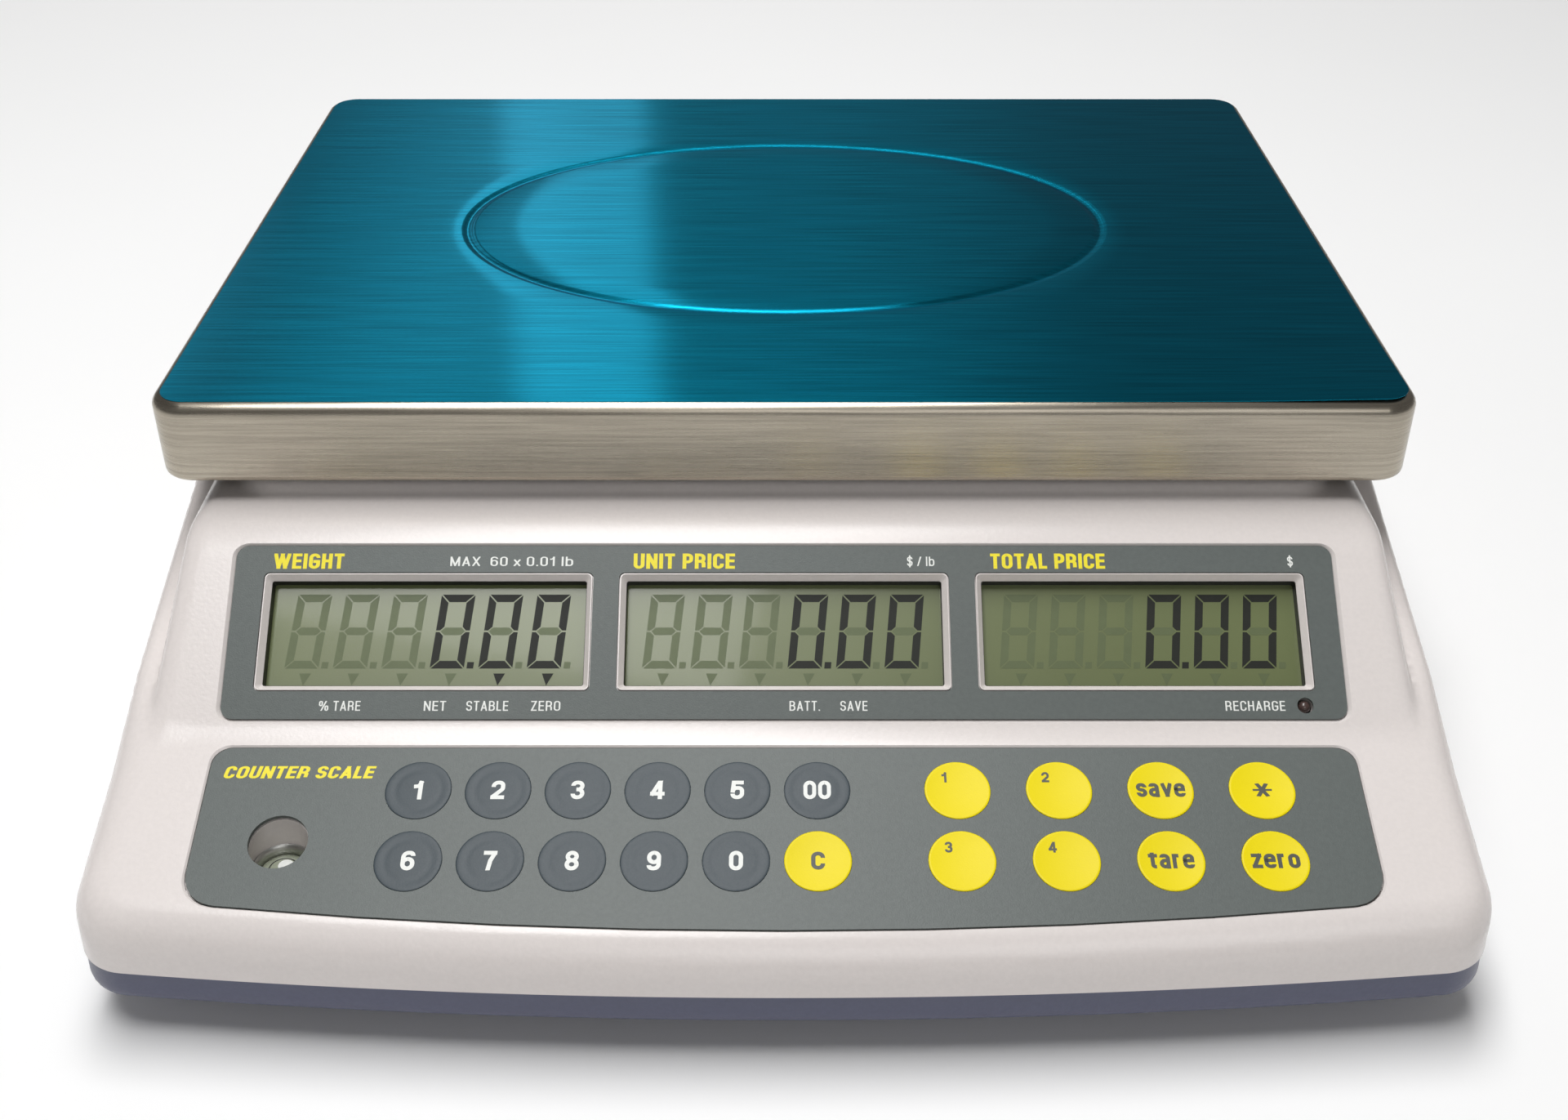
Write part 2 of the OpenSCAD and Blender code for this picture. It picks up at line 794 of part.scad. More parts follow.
// Nine-way connector: its flange inside the wall, its shell through the opening
module serial_port() {
    color([0.7, 0.7, 0.72])
    translate([-side_x, serial_y, port_z]) rotate([0, 0, 180]) {
        difference() {
            union() {
                translate([-2.2, 0, 0]) cube([1, 30.8, 12.5], center = true);
                translate([-0.6, 0, 0]) cube([4, 17, 8.4], center = true);
                translate([-6, 0, 0]) cube([8, 19, 10.4], center = true);
            }
            translate([-0.2, 0, 0]) cube([4.8, 16, 7.4], center = true);
            for (y = [-12.5, 12.5])
                translate([-2, y, 0]) rotate([0, 90, 0]) cylinder(r = 1.5, h = 6, center = true);
        }
        for (row = [0, 1], i = [0:4 - row])
            translate([-3, -5.5 + 2.75 * i + 1.375 * row, 1.4 - 2.8 * row]) rotate([0, 90, 0])
                cylinder(r = 0.5, h = 3.6);
    }
}

// ---------- Feet ----------

module foot_pad(f) {
    color([0.1, 0.1, 0.1])
    translate([f[1].x, f[1].y, 0]) difference() {
        union() {
            cylinder(r = 14, h = 4);
            cylinder(r = 8, h = 6.4);
        }
        translate([0, 0, 2.2]) cylinder(r = stud_r + 0.05, h = 10);
    }
}

module foot_stud(f) {
    color([0.75, 0.76, 0.78])
    translate([f[1].x, f[1].y, 0]) {
        translate([0, 0, 2.5]) cylinder(r = stud_r, h = 27);
        translate([0, 0, 6.8]) cylinder(r = 7, h = 3, $fn = 6);
    }
}

// ---------- Nodes ----------

base_housing();
top_housing();
chassis_plate();
load_cell();
load_cell_spacer();
load_cell_bolts();
load_cell_cable();
spider();
spider_bolts();
spider_bumpers();
platter();
protective_film();
display_overlay();
rear_overlay();
lcd_weight();
lcd_unit_price();
lcd_total_price();
rear_lcds();
display_boards();
charge_led();
keypad_overlay();
keypad_circuit();
level_vial();
level_lens();
main_board();
battery();
battery_cover();
housing_screws();
power_switch_body();
power_rocker();
dc_jack();
serial_port();
for (k = KEYS) key(k);
for (f = FEET) foot_pad(f);
for (f = FEET) foot_stud(f);
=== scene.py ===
"""Looks of a price computing counter scale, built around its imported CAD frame.

Shapes are worked out in millimetres in the CAD frame (+X right, +Y to the rear, +Z up,
origin at the middle of the footprint on the counter) and stored in metres.
"""

import math

import bmesh
import bpy
import numpy as np
from mathutils import Matrix, Vector


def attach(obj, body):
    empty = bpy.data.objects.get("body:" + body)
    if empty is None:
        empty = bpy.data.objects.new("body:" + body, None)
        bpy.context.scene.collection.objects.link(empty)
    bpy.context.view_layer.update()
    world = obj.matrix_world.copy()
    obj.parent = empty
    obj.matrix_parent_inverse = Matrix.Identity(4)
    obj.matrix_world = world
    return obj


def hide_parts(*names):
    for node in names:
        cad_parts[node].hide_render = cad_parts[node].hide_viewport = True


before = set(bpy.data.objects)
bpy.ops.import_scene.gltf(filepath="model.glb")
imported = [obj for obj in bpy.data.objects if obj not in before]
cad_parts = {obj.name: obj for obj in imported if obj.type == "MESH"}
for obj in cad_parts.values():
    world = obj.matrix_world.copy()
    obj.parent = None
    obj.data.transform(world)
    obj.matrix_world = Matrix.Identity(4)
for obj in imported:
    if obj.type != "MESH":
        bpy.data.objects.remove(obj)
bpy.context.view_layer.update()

MM = 0.001

# ---------- Driving dimensions, as in the CAD part ----------

FRONT_Y, REAR_Y = -167.5, 167.5
TOP_Z, SPLIT_Z, BASE_Z = 82.2, 20.0, 10.5
WALL = 2.8
FRONT_HALF, REAR_HALF, TOP_HALF = 159.0, 157.6, 155.2
BOW_R = 1500.0
CREASE_Y, CREASE_Z = -113.0, 49.1
FRONT_CORNER_R, REAR_CORNER_R, TOP_EDGE_R = 12.0, 14.0, 6.0
WEDGE_EDGE_R, LEDGE_R, BLOCK_EDGE_R = 7.5, 3.5, 4.5
BLOCK_LOW_Z, BLOCK_HALF, BLOCK_TOP_HALF = 37.0, 152.3, 146.4
PEDESTAL_HALF_W, PEDESTAL_HALF_D, PEDESTAL_R, PEDESTAL_H = 127.0, 98.0, 9.0, 3.5
INNER_FLOOR_Z = 13.1
KEYPAD_SLOPE, DISPLAY_SLOPE, REAR_LEAN = (math.radians(a) for a in (18, 37, 16.4))
REAR_LOW_Z = 24.0
PAN_W, PAN_D, PAN_Z, PAN_Y = 309.0, 222.0, 109.0, 49.0
PAN_SKIRT, PAN_T, PAN_R = 21.0, 0.8, 9.0
OVERLAY_W, OVERLAY_H = 266.0, 43.4
WINDOW, WINDOW_RIM, WINDOW_LIP = (76.4, 26.4), (78.8, 28.8), (79.2, 29.2)
WINDOW_PITCH, WINDOW_MID, REAR_MID = 86.0, 25.8, 31.0
KEYPAD_HALF, KEYPAD_TOP, KEYPAD_LOW, KEYPAD_BOW_R = 132.8, -3.3, -50.0, 1340.0
LCD_DEPTH, OVERLAY_TOP = 4.6, -0.2
KEY_PITCH, FUNCTION_PITCH = 18.3, 23.3
KEY_ROW, FIRST_NUMBER_X, FIRST_FUNCTION_X = -14.8, -83.9, 39.8
LEVEL_X, LEVEL_S = -113.8, -28.2
LEVEL_Y = CREASE_Y + LEVEL_S * math.cos(KEYPAD_SLOPE)
SIGHT_R, LAMP_X, LAMP_Y = 6.8, 123.1, 7.4
NECK_R, NECK_X = 24, 50
SIDE_X, SWITCH_Y, JACK_Y, SERIAL_Y, PORT_Z = 155.6, 60.0, 95.0, 60.0, 46.0
SCREWS = [(-141, -136), (141, -136), (-144, 8), (144, 8), (-141, 150), (141, 150)]
COVER_Y = 108
COVER_SCREWS = [(-62, COVER_Y), (62, COVER_Y)]
POST_R, PILOT_R, CLEARANCE_R, HEAD_R, FOOT_HOLE_R = 4.5, 1.8, 2.0, 3.8, 5.5
FEET = {
    "front_left": (-128, -112),
    "front_right": (128, -112),
    "rear_left": (-128, 130),
    "rear_right": (128, 130),
}

# Panel frames: X across, Y up the slope, Z outwards
KEYPAD = Matrix.Translation((0, CREASE_Y, CREASE_Z)) @ Matrix.Rotation(KEYPAD_SLOPE, 4, "X")
DISPLAY = Matrix.Translation((0, CREASE_Y, CREASE_Z)) @ Matrix.Rotation(DISPLAY_SLOPE, 4, "X")
REAR = (
    Matrix.Translation((0, REAR_Y, REAR_LOW_Z))
    @ Matrix.Rotation(math.pi, 4, "Z")
    @ Matrix.Rotation(math.pi / 2 - REAR_LEAN, 4, "X")
)
RIGHT = Matrix(((0, 0, 1, 0), (1, 0, 0, 0), (0, 1, 0, 0), (0, 0, 0, 1)))
LEFT = Matrix(((0, 0, -1, 0), (-1, 0, 0, 0), (0, 1, 0, 0), (0, 0, 0, 1)))
UPRIGHT = Matrix.Identity(4)


# ---------- Materials ----------

def fill(node, values):
    """Sets a node's inputs by name, with _ for a space."""
    for socket, value in values.items():
        node.inputs[socket.replace("_", " ")].default_value = value
    return node


def look(name, color, rough, metal=0.0, vary=0.06, vary_scale=40.0, grain=0.0, grain_scale=2500.0,
         stretch=(1, 1, 1), **sockets):
    """A plastic, metal or rubber: colour mottled by noise, roughness and bump from grain."""
    made = bpy.data.materials.new(name)
    made.use_nodes = True
    nodes, links = made.node_tree.nodes, made.node_tree.links
    shader = fill(nodes["Principled BSDF"], {"Metallic": metal, **sockets})
    place = nodes.new("ShaderNodeTexCoord")
    scaled = fill(nodes.new("ShaderNodeMapping"), {"Scale": stretch})
    links.new(place.outputs["Object"], scaled.inputs["Vector"])
    mottle = fill(nodes.new("ShaderNodeTexNoise"), {"Scale": vary_scale, "Detail": 6})
    links.new(scaled.outputs["Vector"], mottle.inputs["Vector"])
    ramp = nodes.new("ShaderNodeValToRGB")
    dark, light = ramp.color_ramp.elements
    dark.position, light.position = 0.3, 0.7
    dark.color = [*(c * (1 - vary) for c in linear(color)), 1]
    light.color = [*(min(c * (1 + vary), 1) for c in linear(color)), 1]
    links.new(mottle.outputs["Fac"], ramp.inputs["Fac"])
    links.new(ramp.outputs["Color"], shader.inputs["Base Color"])
    fine = fill(nodes.new("ShaderNodeTexNoise"), {"Scale": grain_scale, "Detail": 3})
    links.new(scaled.outputs["Vector"], fine.inputs["Vector"])
    spread = fill(nodes.new("ShaderNodeMapRange"), {"To Min": rough * 0.85, "To Max": min(rough * 1.15, 1)})
    links.new(fine.outputs["Fac"], spread.inputs["Value"])
    links.new(spread.outputs["Result"], shader.inputs["Roughness"])
    if grain:
        bump = fill(nodes.new("ShaderNodeBump"), {"Strength": grain, "Distance": 0.00008})
        links.new(fine.outputs["Fac"], bump.inputs["Height"])
        links.new(bump.outputs["Normal"], shader.inputs["Normal"])
    return made


def linear(color):
    """sRGB 0-255 to linear 0-1."""
    scaled = [c / 255 for c in color]
    return [c / 12.92 if c <= 0.04045 else ((c + 0.055) / 1.055) ** 2.4 for c in scaled]


def brushed(made, rotation=0.25):
    """Turns a metal's highlight across its brushing, which follows the mesh's U direction."""
    nodes, links = made.node_tree.nodes, made.node_tree.links
    tangent = nodes.new("ShaderNodeTangent")
    tangent.direction_type = "UV_MAP"
    tangent.uv_map = "brushing"
    shader = nodes["Principled BSDF"]
    shader.inputs["Anisotropic Rotation"].default_value = rotation
    links.new(tangent.outputs["Tangent"], shader.inputs["Tangent"])
    return made


UPPER = look("upper_plastic", (224, 217, 214), 0.23, vary=0.02, vary_scale=900, grain=0.35, grain_scale=1100)
BASE = look("base_plastic", (80, 83, 106), 0.38, vary=0.04, vary_scale=900, grain=0.5, grain_scale=1300)
PANEL = look("panel_film", (95, 101, 99), 0.4, vary=0.05, vary_scale=900, grain=0.5, grain_scale=3200,
             Specular_IOR_Level=0.3)
GREY_KEY = look("grey_key", (60, 70, 76), 0.42, vary=0.03, vary_scale=600, grain=0.25, grain_scale=2600,
                Specular_IOR_Level=0.3)
YELLOW_KEY = look("yellow_key", (236, 216, 0), 0.45, vary=0.03, grain=0.25, grain_scale=2600,
                  Specular_IOR_Level=0.25)
WHITE_INK = look("white_ink", (232, 234, 230), 0.5, vary=0.03, vary_scale=1200)
YELLOW_INK = look("yellow_ink", (238, 222, 20), 0.5, vary=0.05, vary_scale=1200)
DARK_INK = look("dark_ink", (72, 74, 66), 0.5, vary=0.05, vary_scale=1200)
LCD = look("lcd_glass", (103, 112, 73), 0.32, vary=0.04, vary_scale=25, grain=0.1, Coat_Weight=0.2,
           Coat_Roughness=0.06)
SEGMENT = look("lcd_segment", (36, 38, 33), 0.5, vary=0.05, vary_scale=500, Specular_IOR_Level=0.2)
GHOST = look("lcd_ghost", (94, 104, 72), 0.4, vary=0.03, vary_scale=500, Specular_IOR_Level=0.3)
FILM = brushed(look("blue_film", (12, 138, 168), 0.19, metal=1.0, vary=0.24, vary_scale=1300,
                    grain=0.1, grain_scale=2400, stretch=(0.02, 1, 1), Anisotropic=0.94,
                    Specular_Tint=(0.6, 0.7, 0.8, 1)))
STAINLESS = brushed(look("brushed_stainless", (172, 164, 150), 0.27, metal=1.0, vary=0.16,
                         vary_scale=2000, grain=0.15, grain_scale=2600, stretch=(0.02, 0.02, 1),
                         Anisotropic=0.7))
STEEL = look("zinc_steel", (190, 190, 186), 0.35, metal=1.0, vary=0.12, vary_scale=120, grain=0.2)
ALUMINIUM = look("machined_aluminium", (200, 202, 204), 0.3, metal=1.0, vary=0.06, grain=0.2,
                 grain_scale=900, stretch=(0.1, 1, 1))
CAST = look("cast_aluminium", (178, 180, 182), 0.5, metal=1.0, vary=0.08, grain=0.8, grain_scale=700)
RUBBER = look("black_rubber", (38, 38, 40), 0.75, vary=0.12, grain=0.7, grain_scale=1300)
BLACK = look("black_plastic", (26, 26, 28), 0.38, vary=0.1, grain=0.4, grain_scale=1500)
BOARD = look("circuit_board", (30, 92, 58), 0.4, vary=0.2, vary_scale=300, grain=0.4)
CIRCUIT = look("circuit_film", (190, 196, 200), 0.4, vary=0.06, vary_scale=200)
CASE = look("battery_case", (52, 54, 62), 0.45, vary=0.08, grain=0.6)
JACKET = look("cable_jacket", (78, 78, 82), 0.5, vary=0.08, grain=0.3)
LAMP = look("lamp_lens", (74, 58, 54), 0.25, vary=0.05, Coat_Weight=0.3)
VIAL = look("vial_plastic", (224, 226, 222), 0.25, vary=0.03, Coat_Weight=0.4)
LENS = look("vial_lens", (140, 146, 128), 0.08, vary=0.05, Coat_Weight=1.0)


# ---------- Mesh building ----------

def placed(points, where):
    """Points moved from a panel's frame to the object's."""
    matrix = np.array(where)
    return np.asarray(points, float) @ matrix[:3, :3].T + matrix[:3, 3]


def shell(name, points, faces):
    """A mesh object in metres with its faces turned outwards."""
    mesh = bpy.data.meshes.new(name)
    mesh.from_pydata((np.asarray(points, float) * MM).tolist(), [], [list(map(int, f)) for f in faces])
    work = bmesh.new()
    work.from_mesh(mesh)
    bmesh.ops.recalc_face_normals(work, faces=work.faces)
    work.to_mesh(mesh)
    work.free()
    made = bpy.data.objects.new(name, mesh)
    bpy.context.scene.collection.objects.link(made)
    return made


def dress(made, material, body="root", stands_for=(), smooth=40):
    """Gives a finished piece its material and body, and hides the CAD nodes that it stands for."""
    made.data.materials.clear()
    made.data.materials.append(material)
    made.data.polygons.foreach_set("use_smooth", [True] * len(made.data.polygons))
    made.data.set_sharp_from_angle(angle=math.radians(smooth))
    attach(made, body)
    if stands_for:
        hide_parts(*stands_for)
    return made


def loft_faces(count, rings, closed_path=False):
    """Quads between rings of count points each, with end caps unless the path is closed."""
    faces = []
    for i in range(rings if closed_path else rings - 1):
        a, b = i * count, (i + 1) % rings * count
        faces += [(a + k, a + (k + 1) % count, b + (k + 1) % count, b + k) for k in range(count)]
    if not closed_path:
        faces += [range(count - 1, -1, -1), range((rings - 1) * count, rings * count)]
    return faces


def loft(name, loops, where=UPRIGHT, closed_path=False):
    """A closed solid through loops of [x, y, z] points."""
    count = len(loops[0])
    return shell(name, placed(np.concatenate(loops), where), loft_faces(count, len(loops), closed_path))


def level_loop(outline, z):
    """An outline lifted to a height."""
    return np.column_stack([outline, np.full(len(outline), float(z))])


def prism(name, outline, low, high, where=UPRIGHT):
    """A straight-sided solid on an outline."""
    return loft(name, [level_loop(outline, low), level_loop(outline, high)], where)


def rounded_rect(w, h, r, corner_steps=8, side_steps=1):
    """Outline of a rectangle with rounded corners, anticlockwise from its right side."""
    points = []
    for sx, sy, start in ((1, 1, 0), (-1, 1, 90), (-1, -1, 180), (1, -1, 270)):
        for k in range(corner_steps + 1):
            a = math.radians(start + 90 * k / corner_steps)
            points.append((sx * (w / 2 - r) + r * math.cos(a), sy * (h / 2 - r) + r * math.sin(a)))
    points = np.array(points)
    if side_steps == 1:
        return points
    filled = []
    for k, here in enumerate(points):
        after = points[(k + 1) % len(points)]
        steps = side_steps if (k + 1) % (corner_steps + 1) == 0 else 1
        filled += [here + (after - here) * i / steps for i in range(steps)]
    return np.array(filled)


def circle(r, steps=48, x=0.0, y=0.0):
    """Outline of a circle."""
    a = np.arange(steps) * 2 * math.pi / steps
    return np.column_stack([x + r * np.cos(a), y + r * np.sin(a)])


def lathe(name, profile, where=UPRIGHT, steps=48):
    """A solid of revolution about Z through [radius, z] points, from its foot to its top."""
    return loft(name, [level_loop(circle(max(r, 0.01), steps), z) for r, z in profile], where)


def unit(v):
    """A vector's direction."""
    return v / np.linalg.norm(v)


def corner_arc(here, u, v, r, steps):
    """Points of the arc of radius r that rounds a corner, whose sides leave it along u and v."""
    half = math.acos(float(np.clip(u @ v, -1, 1))) / 2
    reach = r / math.tan(half)
    centre = here + unit(u + v) * r / math.sin(half)
    first, last = here + u * reach - centre, here + v * reach - centre
    start = math.atan2(first[1], first[0])
    turn = (math.atan2(last[1], last[0]) - start + 3 * math.pi) % (2 * math.pi) - math.pi
    angles = [start + turn * k / steps for k in range(steps + 1)]
    return [centre + r * np.array((math.cos(a), math.sin(a))) for a in angles]


def rounded_outline(corners, steps=6):
    """Corners [x, y, radius] of a convex outline, anticlockwise, rounded with arcs."""
    points = []
    for i, (x, y, r) in enumerate(corners):
        here = np.array((x, y))
        if r == 0:
            points.append(here)
            continue
        u = unit(np.array(corners[i - 1][:2]) - here)
        v = unit(np.array(corners[(i + 1) % len(corners)][:2]) - here)
        points += corner_arc(here, u, v, r, steps)
    return np.array(points)


def keypad_outline(grow):
    """The keypad overlay's outline: straight top, bowed bottom."""
    half, bow, top = KEYPAD_HALF + grow, KEYPAD_BOW_R, KEYPAD_TOP + grow
    xs = [(half - 8) * i / 4 for i in range(-4, 5)]
    bottom = [(x, KEYPAD_LOW - grow + bow - math.sqrt(bow * bow - x * x), 0) for x in xs]
    low = bottom[0][1] + 1.2
    return rounded_outline(bottom + [(half, low, 8), (half, top, 4.5), (-half, top, 4.5), (-half, low, 8)])


def display_outline(grow):
    """The display overlay's outline, for the front and for the rear."""
    return rounded_rect(OVERLAY_W + 2 * grow, OVERLAY_H + 2 * grow, 3 + grow)


def combine(target, others, operation):
    """Applies exact booleans with the other objects, which are then removed."""
    for other in others:
        step = target.modifiers.new("combine", "BOOLEAN")
        step.operation = operation
        step.solver = "MANIFOLD"
        step.object = other
    graph = bpy.context.evaluated_depsgraph_get()
    finished = bpy.data.meshes.new_from_object(target.evaluated_get(graph))
    target.modifiers.clear()
    target.data = finished
    for other in others:
        bpy.data.objects.remove(other)
    return target


# ---------- Rounded casing as a distance function ----------

GRID_X, GRID_Y = 162, 171
SKIN_STEP, CAVITY_STEP = 1.6, 3.5


def rounded_both(a, b, r):
    """Inside both a and b, with the edge between them rounded to radius r."""
    return np.minimum(-r, np.maximum(a, b)) + np.hypot(np.maximum(a + r, 0), np.maximum(b + r, 0))


def filleted_either(a, b, r):
    """Inside a or b, with a fillet of radius r where they meet."""
    return np.maximum(r, np.minimum(a, b)) - np.hypot(np.maximum(r - a, 0), np.maximum(r - b, 0))


def walls(x, y, z):
    """Distance to the casing's side walls, seen from above, with draft and a bowed front."""
    draft = (FRONT_HALF - TOP_HALF) * (z - SPLIT_Z) / (TOP_Z - SPLIT_Z)
    taper = (FRONT_HALF - REAR_HALF) * np.clip((y + 121) / 288, 0, 1)
    side = np.abs(x) - (FRONT_HALF - draft - taper)
    front = np.hypot(x, y - FRONT_Y - BOW_R) - BOW_R
    lean = (y - REAR_Y) * math.cos(REAR_LEAN) + (z - REAR_LOW_Z) * math.sin(REAR_LEAN)
    rear = rounded_both(y - REAR_Y, lean, TOP_EDGE_R)
    return rounded_both(rounded_both(front, side, FRONT_CORNER_R), rear, REAR_CORNER_R)


def slope(y, z, angle):
    """Distance above a panel that rises to the rear from the crease."""
    return (z - CREASE_Z) * math.cos(angle) - (y - CREASE_Y) * math.sin(angle)


def hollow_form(x, y, z):
    """The upper casing without its pedestal: keypad wedge with the display block on it."""
    plan = walls(x, y, z)
    # The wedge's edge is tighter beside the block, where a ledge shows
    edge = WEDGE_EDGE_R - (WEDGE_EDGE_R - LEDGE_R) * np.clip((y - CREASE_Y + 6) / 25, 0, 1)
    wedge = rounded_both(plan, slope(y, z, KEYPAD_SLOPE), edge)
    block_half = BLOCK_HALF - (z - BLOCK_LOW_Z) * (BLOCK_HALF - BLOCK_TOP_HALF) / (TOP_Z - BLOCK_LOW_Z)
    block = rounded_both(np.abs(x) - block_half, slope(y, z, DISPLAY_SLOPE), BLOCK_EDGE_R)
    block = rounded_both(block, plan, TOP_EDGE_R)
    # The crease between the panels is tight, and the block's sides flow into the wedge
    fillet = 0.9 + 0.7 * np.clip((np.abs(x) - 138) / 12, 0, 1)
    return rounded_both(filleted_either(wedge, block, fillet), z - TOP_Z, TOP_EDGE_R)


def upper_form(x, y, z):
    """The upper casing with the pedestal that stands under the pan."""
    qx, qy = np.abs(x) - PEDESTAL_HALF_W, np.abs(y - PAN_Y) - PEDESTAL_HALF_D
    plan = np.hypot(np.maximum(qx, 0), np.maximum(qy, 0)) + np.minimum(np.maximum(qx, qy), 0) - PEDESTAL_R
    pedestal = rounded_both(plan, z - TOP_Z - PEDESTAL_H, 2.6)
    return np.maximum(filleted_either(hollow_form(x, y, z), pedestal, 3), SPLIT_Z - 6 - z)


def upper_cavity(x, y, z):
    """The space inside the upper casing."""
    return np.maximum(hollow_form(x, y, z) + WALL, SPLIT_Z - 9 - z)


def base_form(x, y, z):
    """The base casing, its bottom edge rounded."""
    return np.maximum(rounded_both(walls(x, y, z) + 0.5, BASE_Z - z, 3.2), z - SPLIT_Z - 4)


def base_cavity(x, y, z):
    """The space inside the base casing, above its floor."""
    return np.maximum(walls(x, y, z) + 5.5, np.maximum(INNER_FLOOR_Z - z, z - 30))


def roof(form, x, y, low, high):
    """Height at which the form ends above a place."""
    low, high = np.full_like(x, float(low)), np.full_like(x, float(high))
    for _ in range(24):
        middle = (low + high) / 2
        inside = form(x, y, middle) < 0
        low, high = np.where(inside, middle, low), np.where(inside, high, middle)
    return low


def surface(name, form, low, high, step):
    """Surface nets between two heights: a point in each cell that the form's surface crosses."""
    start, stop = (-GRID_X, -GRID_Y, low), (GRID_X, GRID_Y, high)
    axes = [np.arange(a, b + step, step) for a, b in zip(start, stop)]
    value = form(*np.meshgrid(*axes, indexing="ij"))
    inside = value < 0
    corners = [np.array((i, j, k)) for i in (0, 1) for j in (0, 1) for k in (0, 1)]
    size = np.array(value.shape) - 1
    count = sum(
        inside[c[0]:c[0] + size[0], c[1]:c[1] + size[1], c[2]:c[2] + size[2]].astype(np.int8)
        for c in corners
    )
    crossed = (count > 0) & (count < 8)
    cells = np.argwhere(crossed)
    number = np.full(crossed.shape, -1)
    number[crossed] = np.arange(len(cells))
    total, hits = np.zeros((len(cells), 3)), np.zeros(len(cells))
    for a in corners:
        for axis in range(3):
            if a[axis]:
                continue
            b = a.copy()
            b[axis] = 1
            va, vb = value[tuple((cells + a).T)], value[tuple((cells + b).T)]
            crosses = (va < 0) != (vb < 0)
            share = np.where(crosses, va / np.where(crosses, va - vb, 1), 0)
            total += crosses[:, None] * (a + share[:, None] * (b - a))
            hits += crosses
    points = (cells + total / hits[:, None]) * step + np.array(start)
    for _ in range(3):
        at = form(*points.T)
        slopes = np.stack(
            [(form(*(points + e).T) - form(*(points - e).T)) / 0.1 for e in np.eye(3) * 0.05], axis=1
        )
        shift = at / np.maximum((slopes ** 2).sum(1), 0.2)
        points -= np.clip(shift, -step / 2, step / 2)[:, None] * slopes
    faces = []
    for axis in range(3):
        u, v = (axis + 1) % 3, (axis + 2) % 3
        first = np.moveaxis(inside, (axis, u, v), (0, 1, 2))
        local = np.moveaxis(number, (axis, u, v), (0, 1, 2))
        flips = first[:-1, 1:-1, 1:-1] != first[1:, 1:-1, 1:-1]
        i, j, k = np.nonzero(flips)
        quad = np.stack([local[i, j, k], local[i, j + 1, k], local[i, j + 1, k + 1], local[i, j, k + 1]], 1)
        turned = first[:-1, 1:-1, 1:-1][flips]
        faces.append(np.where(turned[:, None], quad, quad[:, ::-1]))
    return shell(name, points, np.concatenate(faces).tolist())


def post(name, x, y, r, low, form, sink):
    """A post whose top stays a little inside the wall above it."""
    rim = circle(r, 32, x, y)
    top = roof(form, rim[:, 0], rim[:, 1], low, 95) - sink
    return loft(name, [level_loop(rim, low), np.column_stack([rim, top])])


def rods(name, places, r, low, high, steps=32):
    """Upright round solids at a list of places."""
    return [prism(name, circle(r, steps, x, y), low, high) for x, y in places]


def recess(name, outline_at, floor, chamfer, where):
    """A cutter for a recess with a chamfered rim. outline_at(grow) gives its outline."""
    return loft(name, [
        level_loop(outline_at(0.3), floor),
        level_loop(outline_at(0.3), -chamfer),
        level_loop(outline_at(0.3 + 2 * chamfer), chamfer),
        level_loop(outline_at(0.3 + 2 * chamfer), 8),
    ], where)


def display_cutters(where, middle):
    """Overlay recess with a lip left standing round each window, and the bevelled windows."""
    place = where @ Matrix.Translation((0, middle, 0))
    floor = recess("recess", display_outline, -1, 0.7, place)
    spots = [place @ Matrix.Translation((i * WINDOW_PITCH, 0, 0)) for i in (-1, 0, 1)]
    lips = [prism("lip", rounded_rect(*WINDOW_LIP, 1.2), -3, -0.15, spot) for spot in spots]
    combine(floor, lips, "DIFFERENCE")
    windows = [
        loft("window", [
            level_loop(rounded_rect(*WINDOW, 0.6), -9),
            level_loop(rounded_rect(*WINDOW, 0.6), -1.9),
            level_loop(rounded_rect(*WINDOW_RIM, 1.1), -0.15),
            level_loop(rounded_rect(*WINDOW_RIM, 1.1), 3),
        ], spot)
        for spot in spots
    ]
    return [floor, *windows]


def at_side(panel, x, y):
    """A side panel's frame, moved to one of its fittings."""
    place = panel.copy()
    place.translation = (x, y, PORT_Z)
    return place


def side_cutters():
    """Openings for the switch, the inlet and the serial connector."""
    switch = at_side(RIGHT, SIDE_X, SWITCH_Y)
    jack = at_side(RIGHT, SIDE_X, JACK_Y)
    serial = at_side(LEFT, -SIDE_X, SERIAL_Y)
    return [
        prism("cut", rounded_rect(22.4, 16, 1.5), 0, 10, switch),
        prism("cut", rounded_rect(19.6, 13.4, 0.4), -8, 8, switch),
        prism("cut", circle(7.6), 0, 10, jack),
        prism("cut", circle(5.6), -10, 10, jack),
        prism("cut", rounded_rect(35, 16, 2), 0, 10, serial),
        prism("cut", rounded_rect(17.6, 9, 1), -8, 8, serial),
        *[prism("cut", circle(1.7, 24, x), -10, 10, serial) for x in (-12.5, 12.5)],
    ]


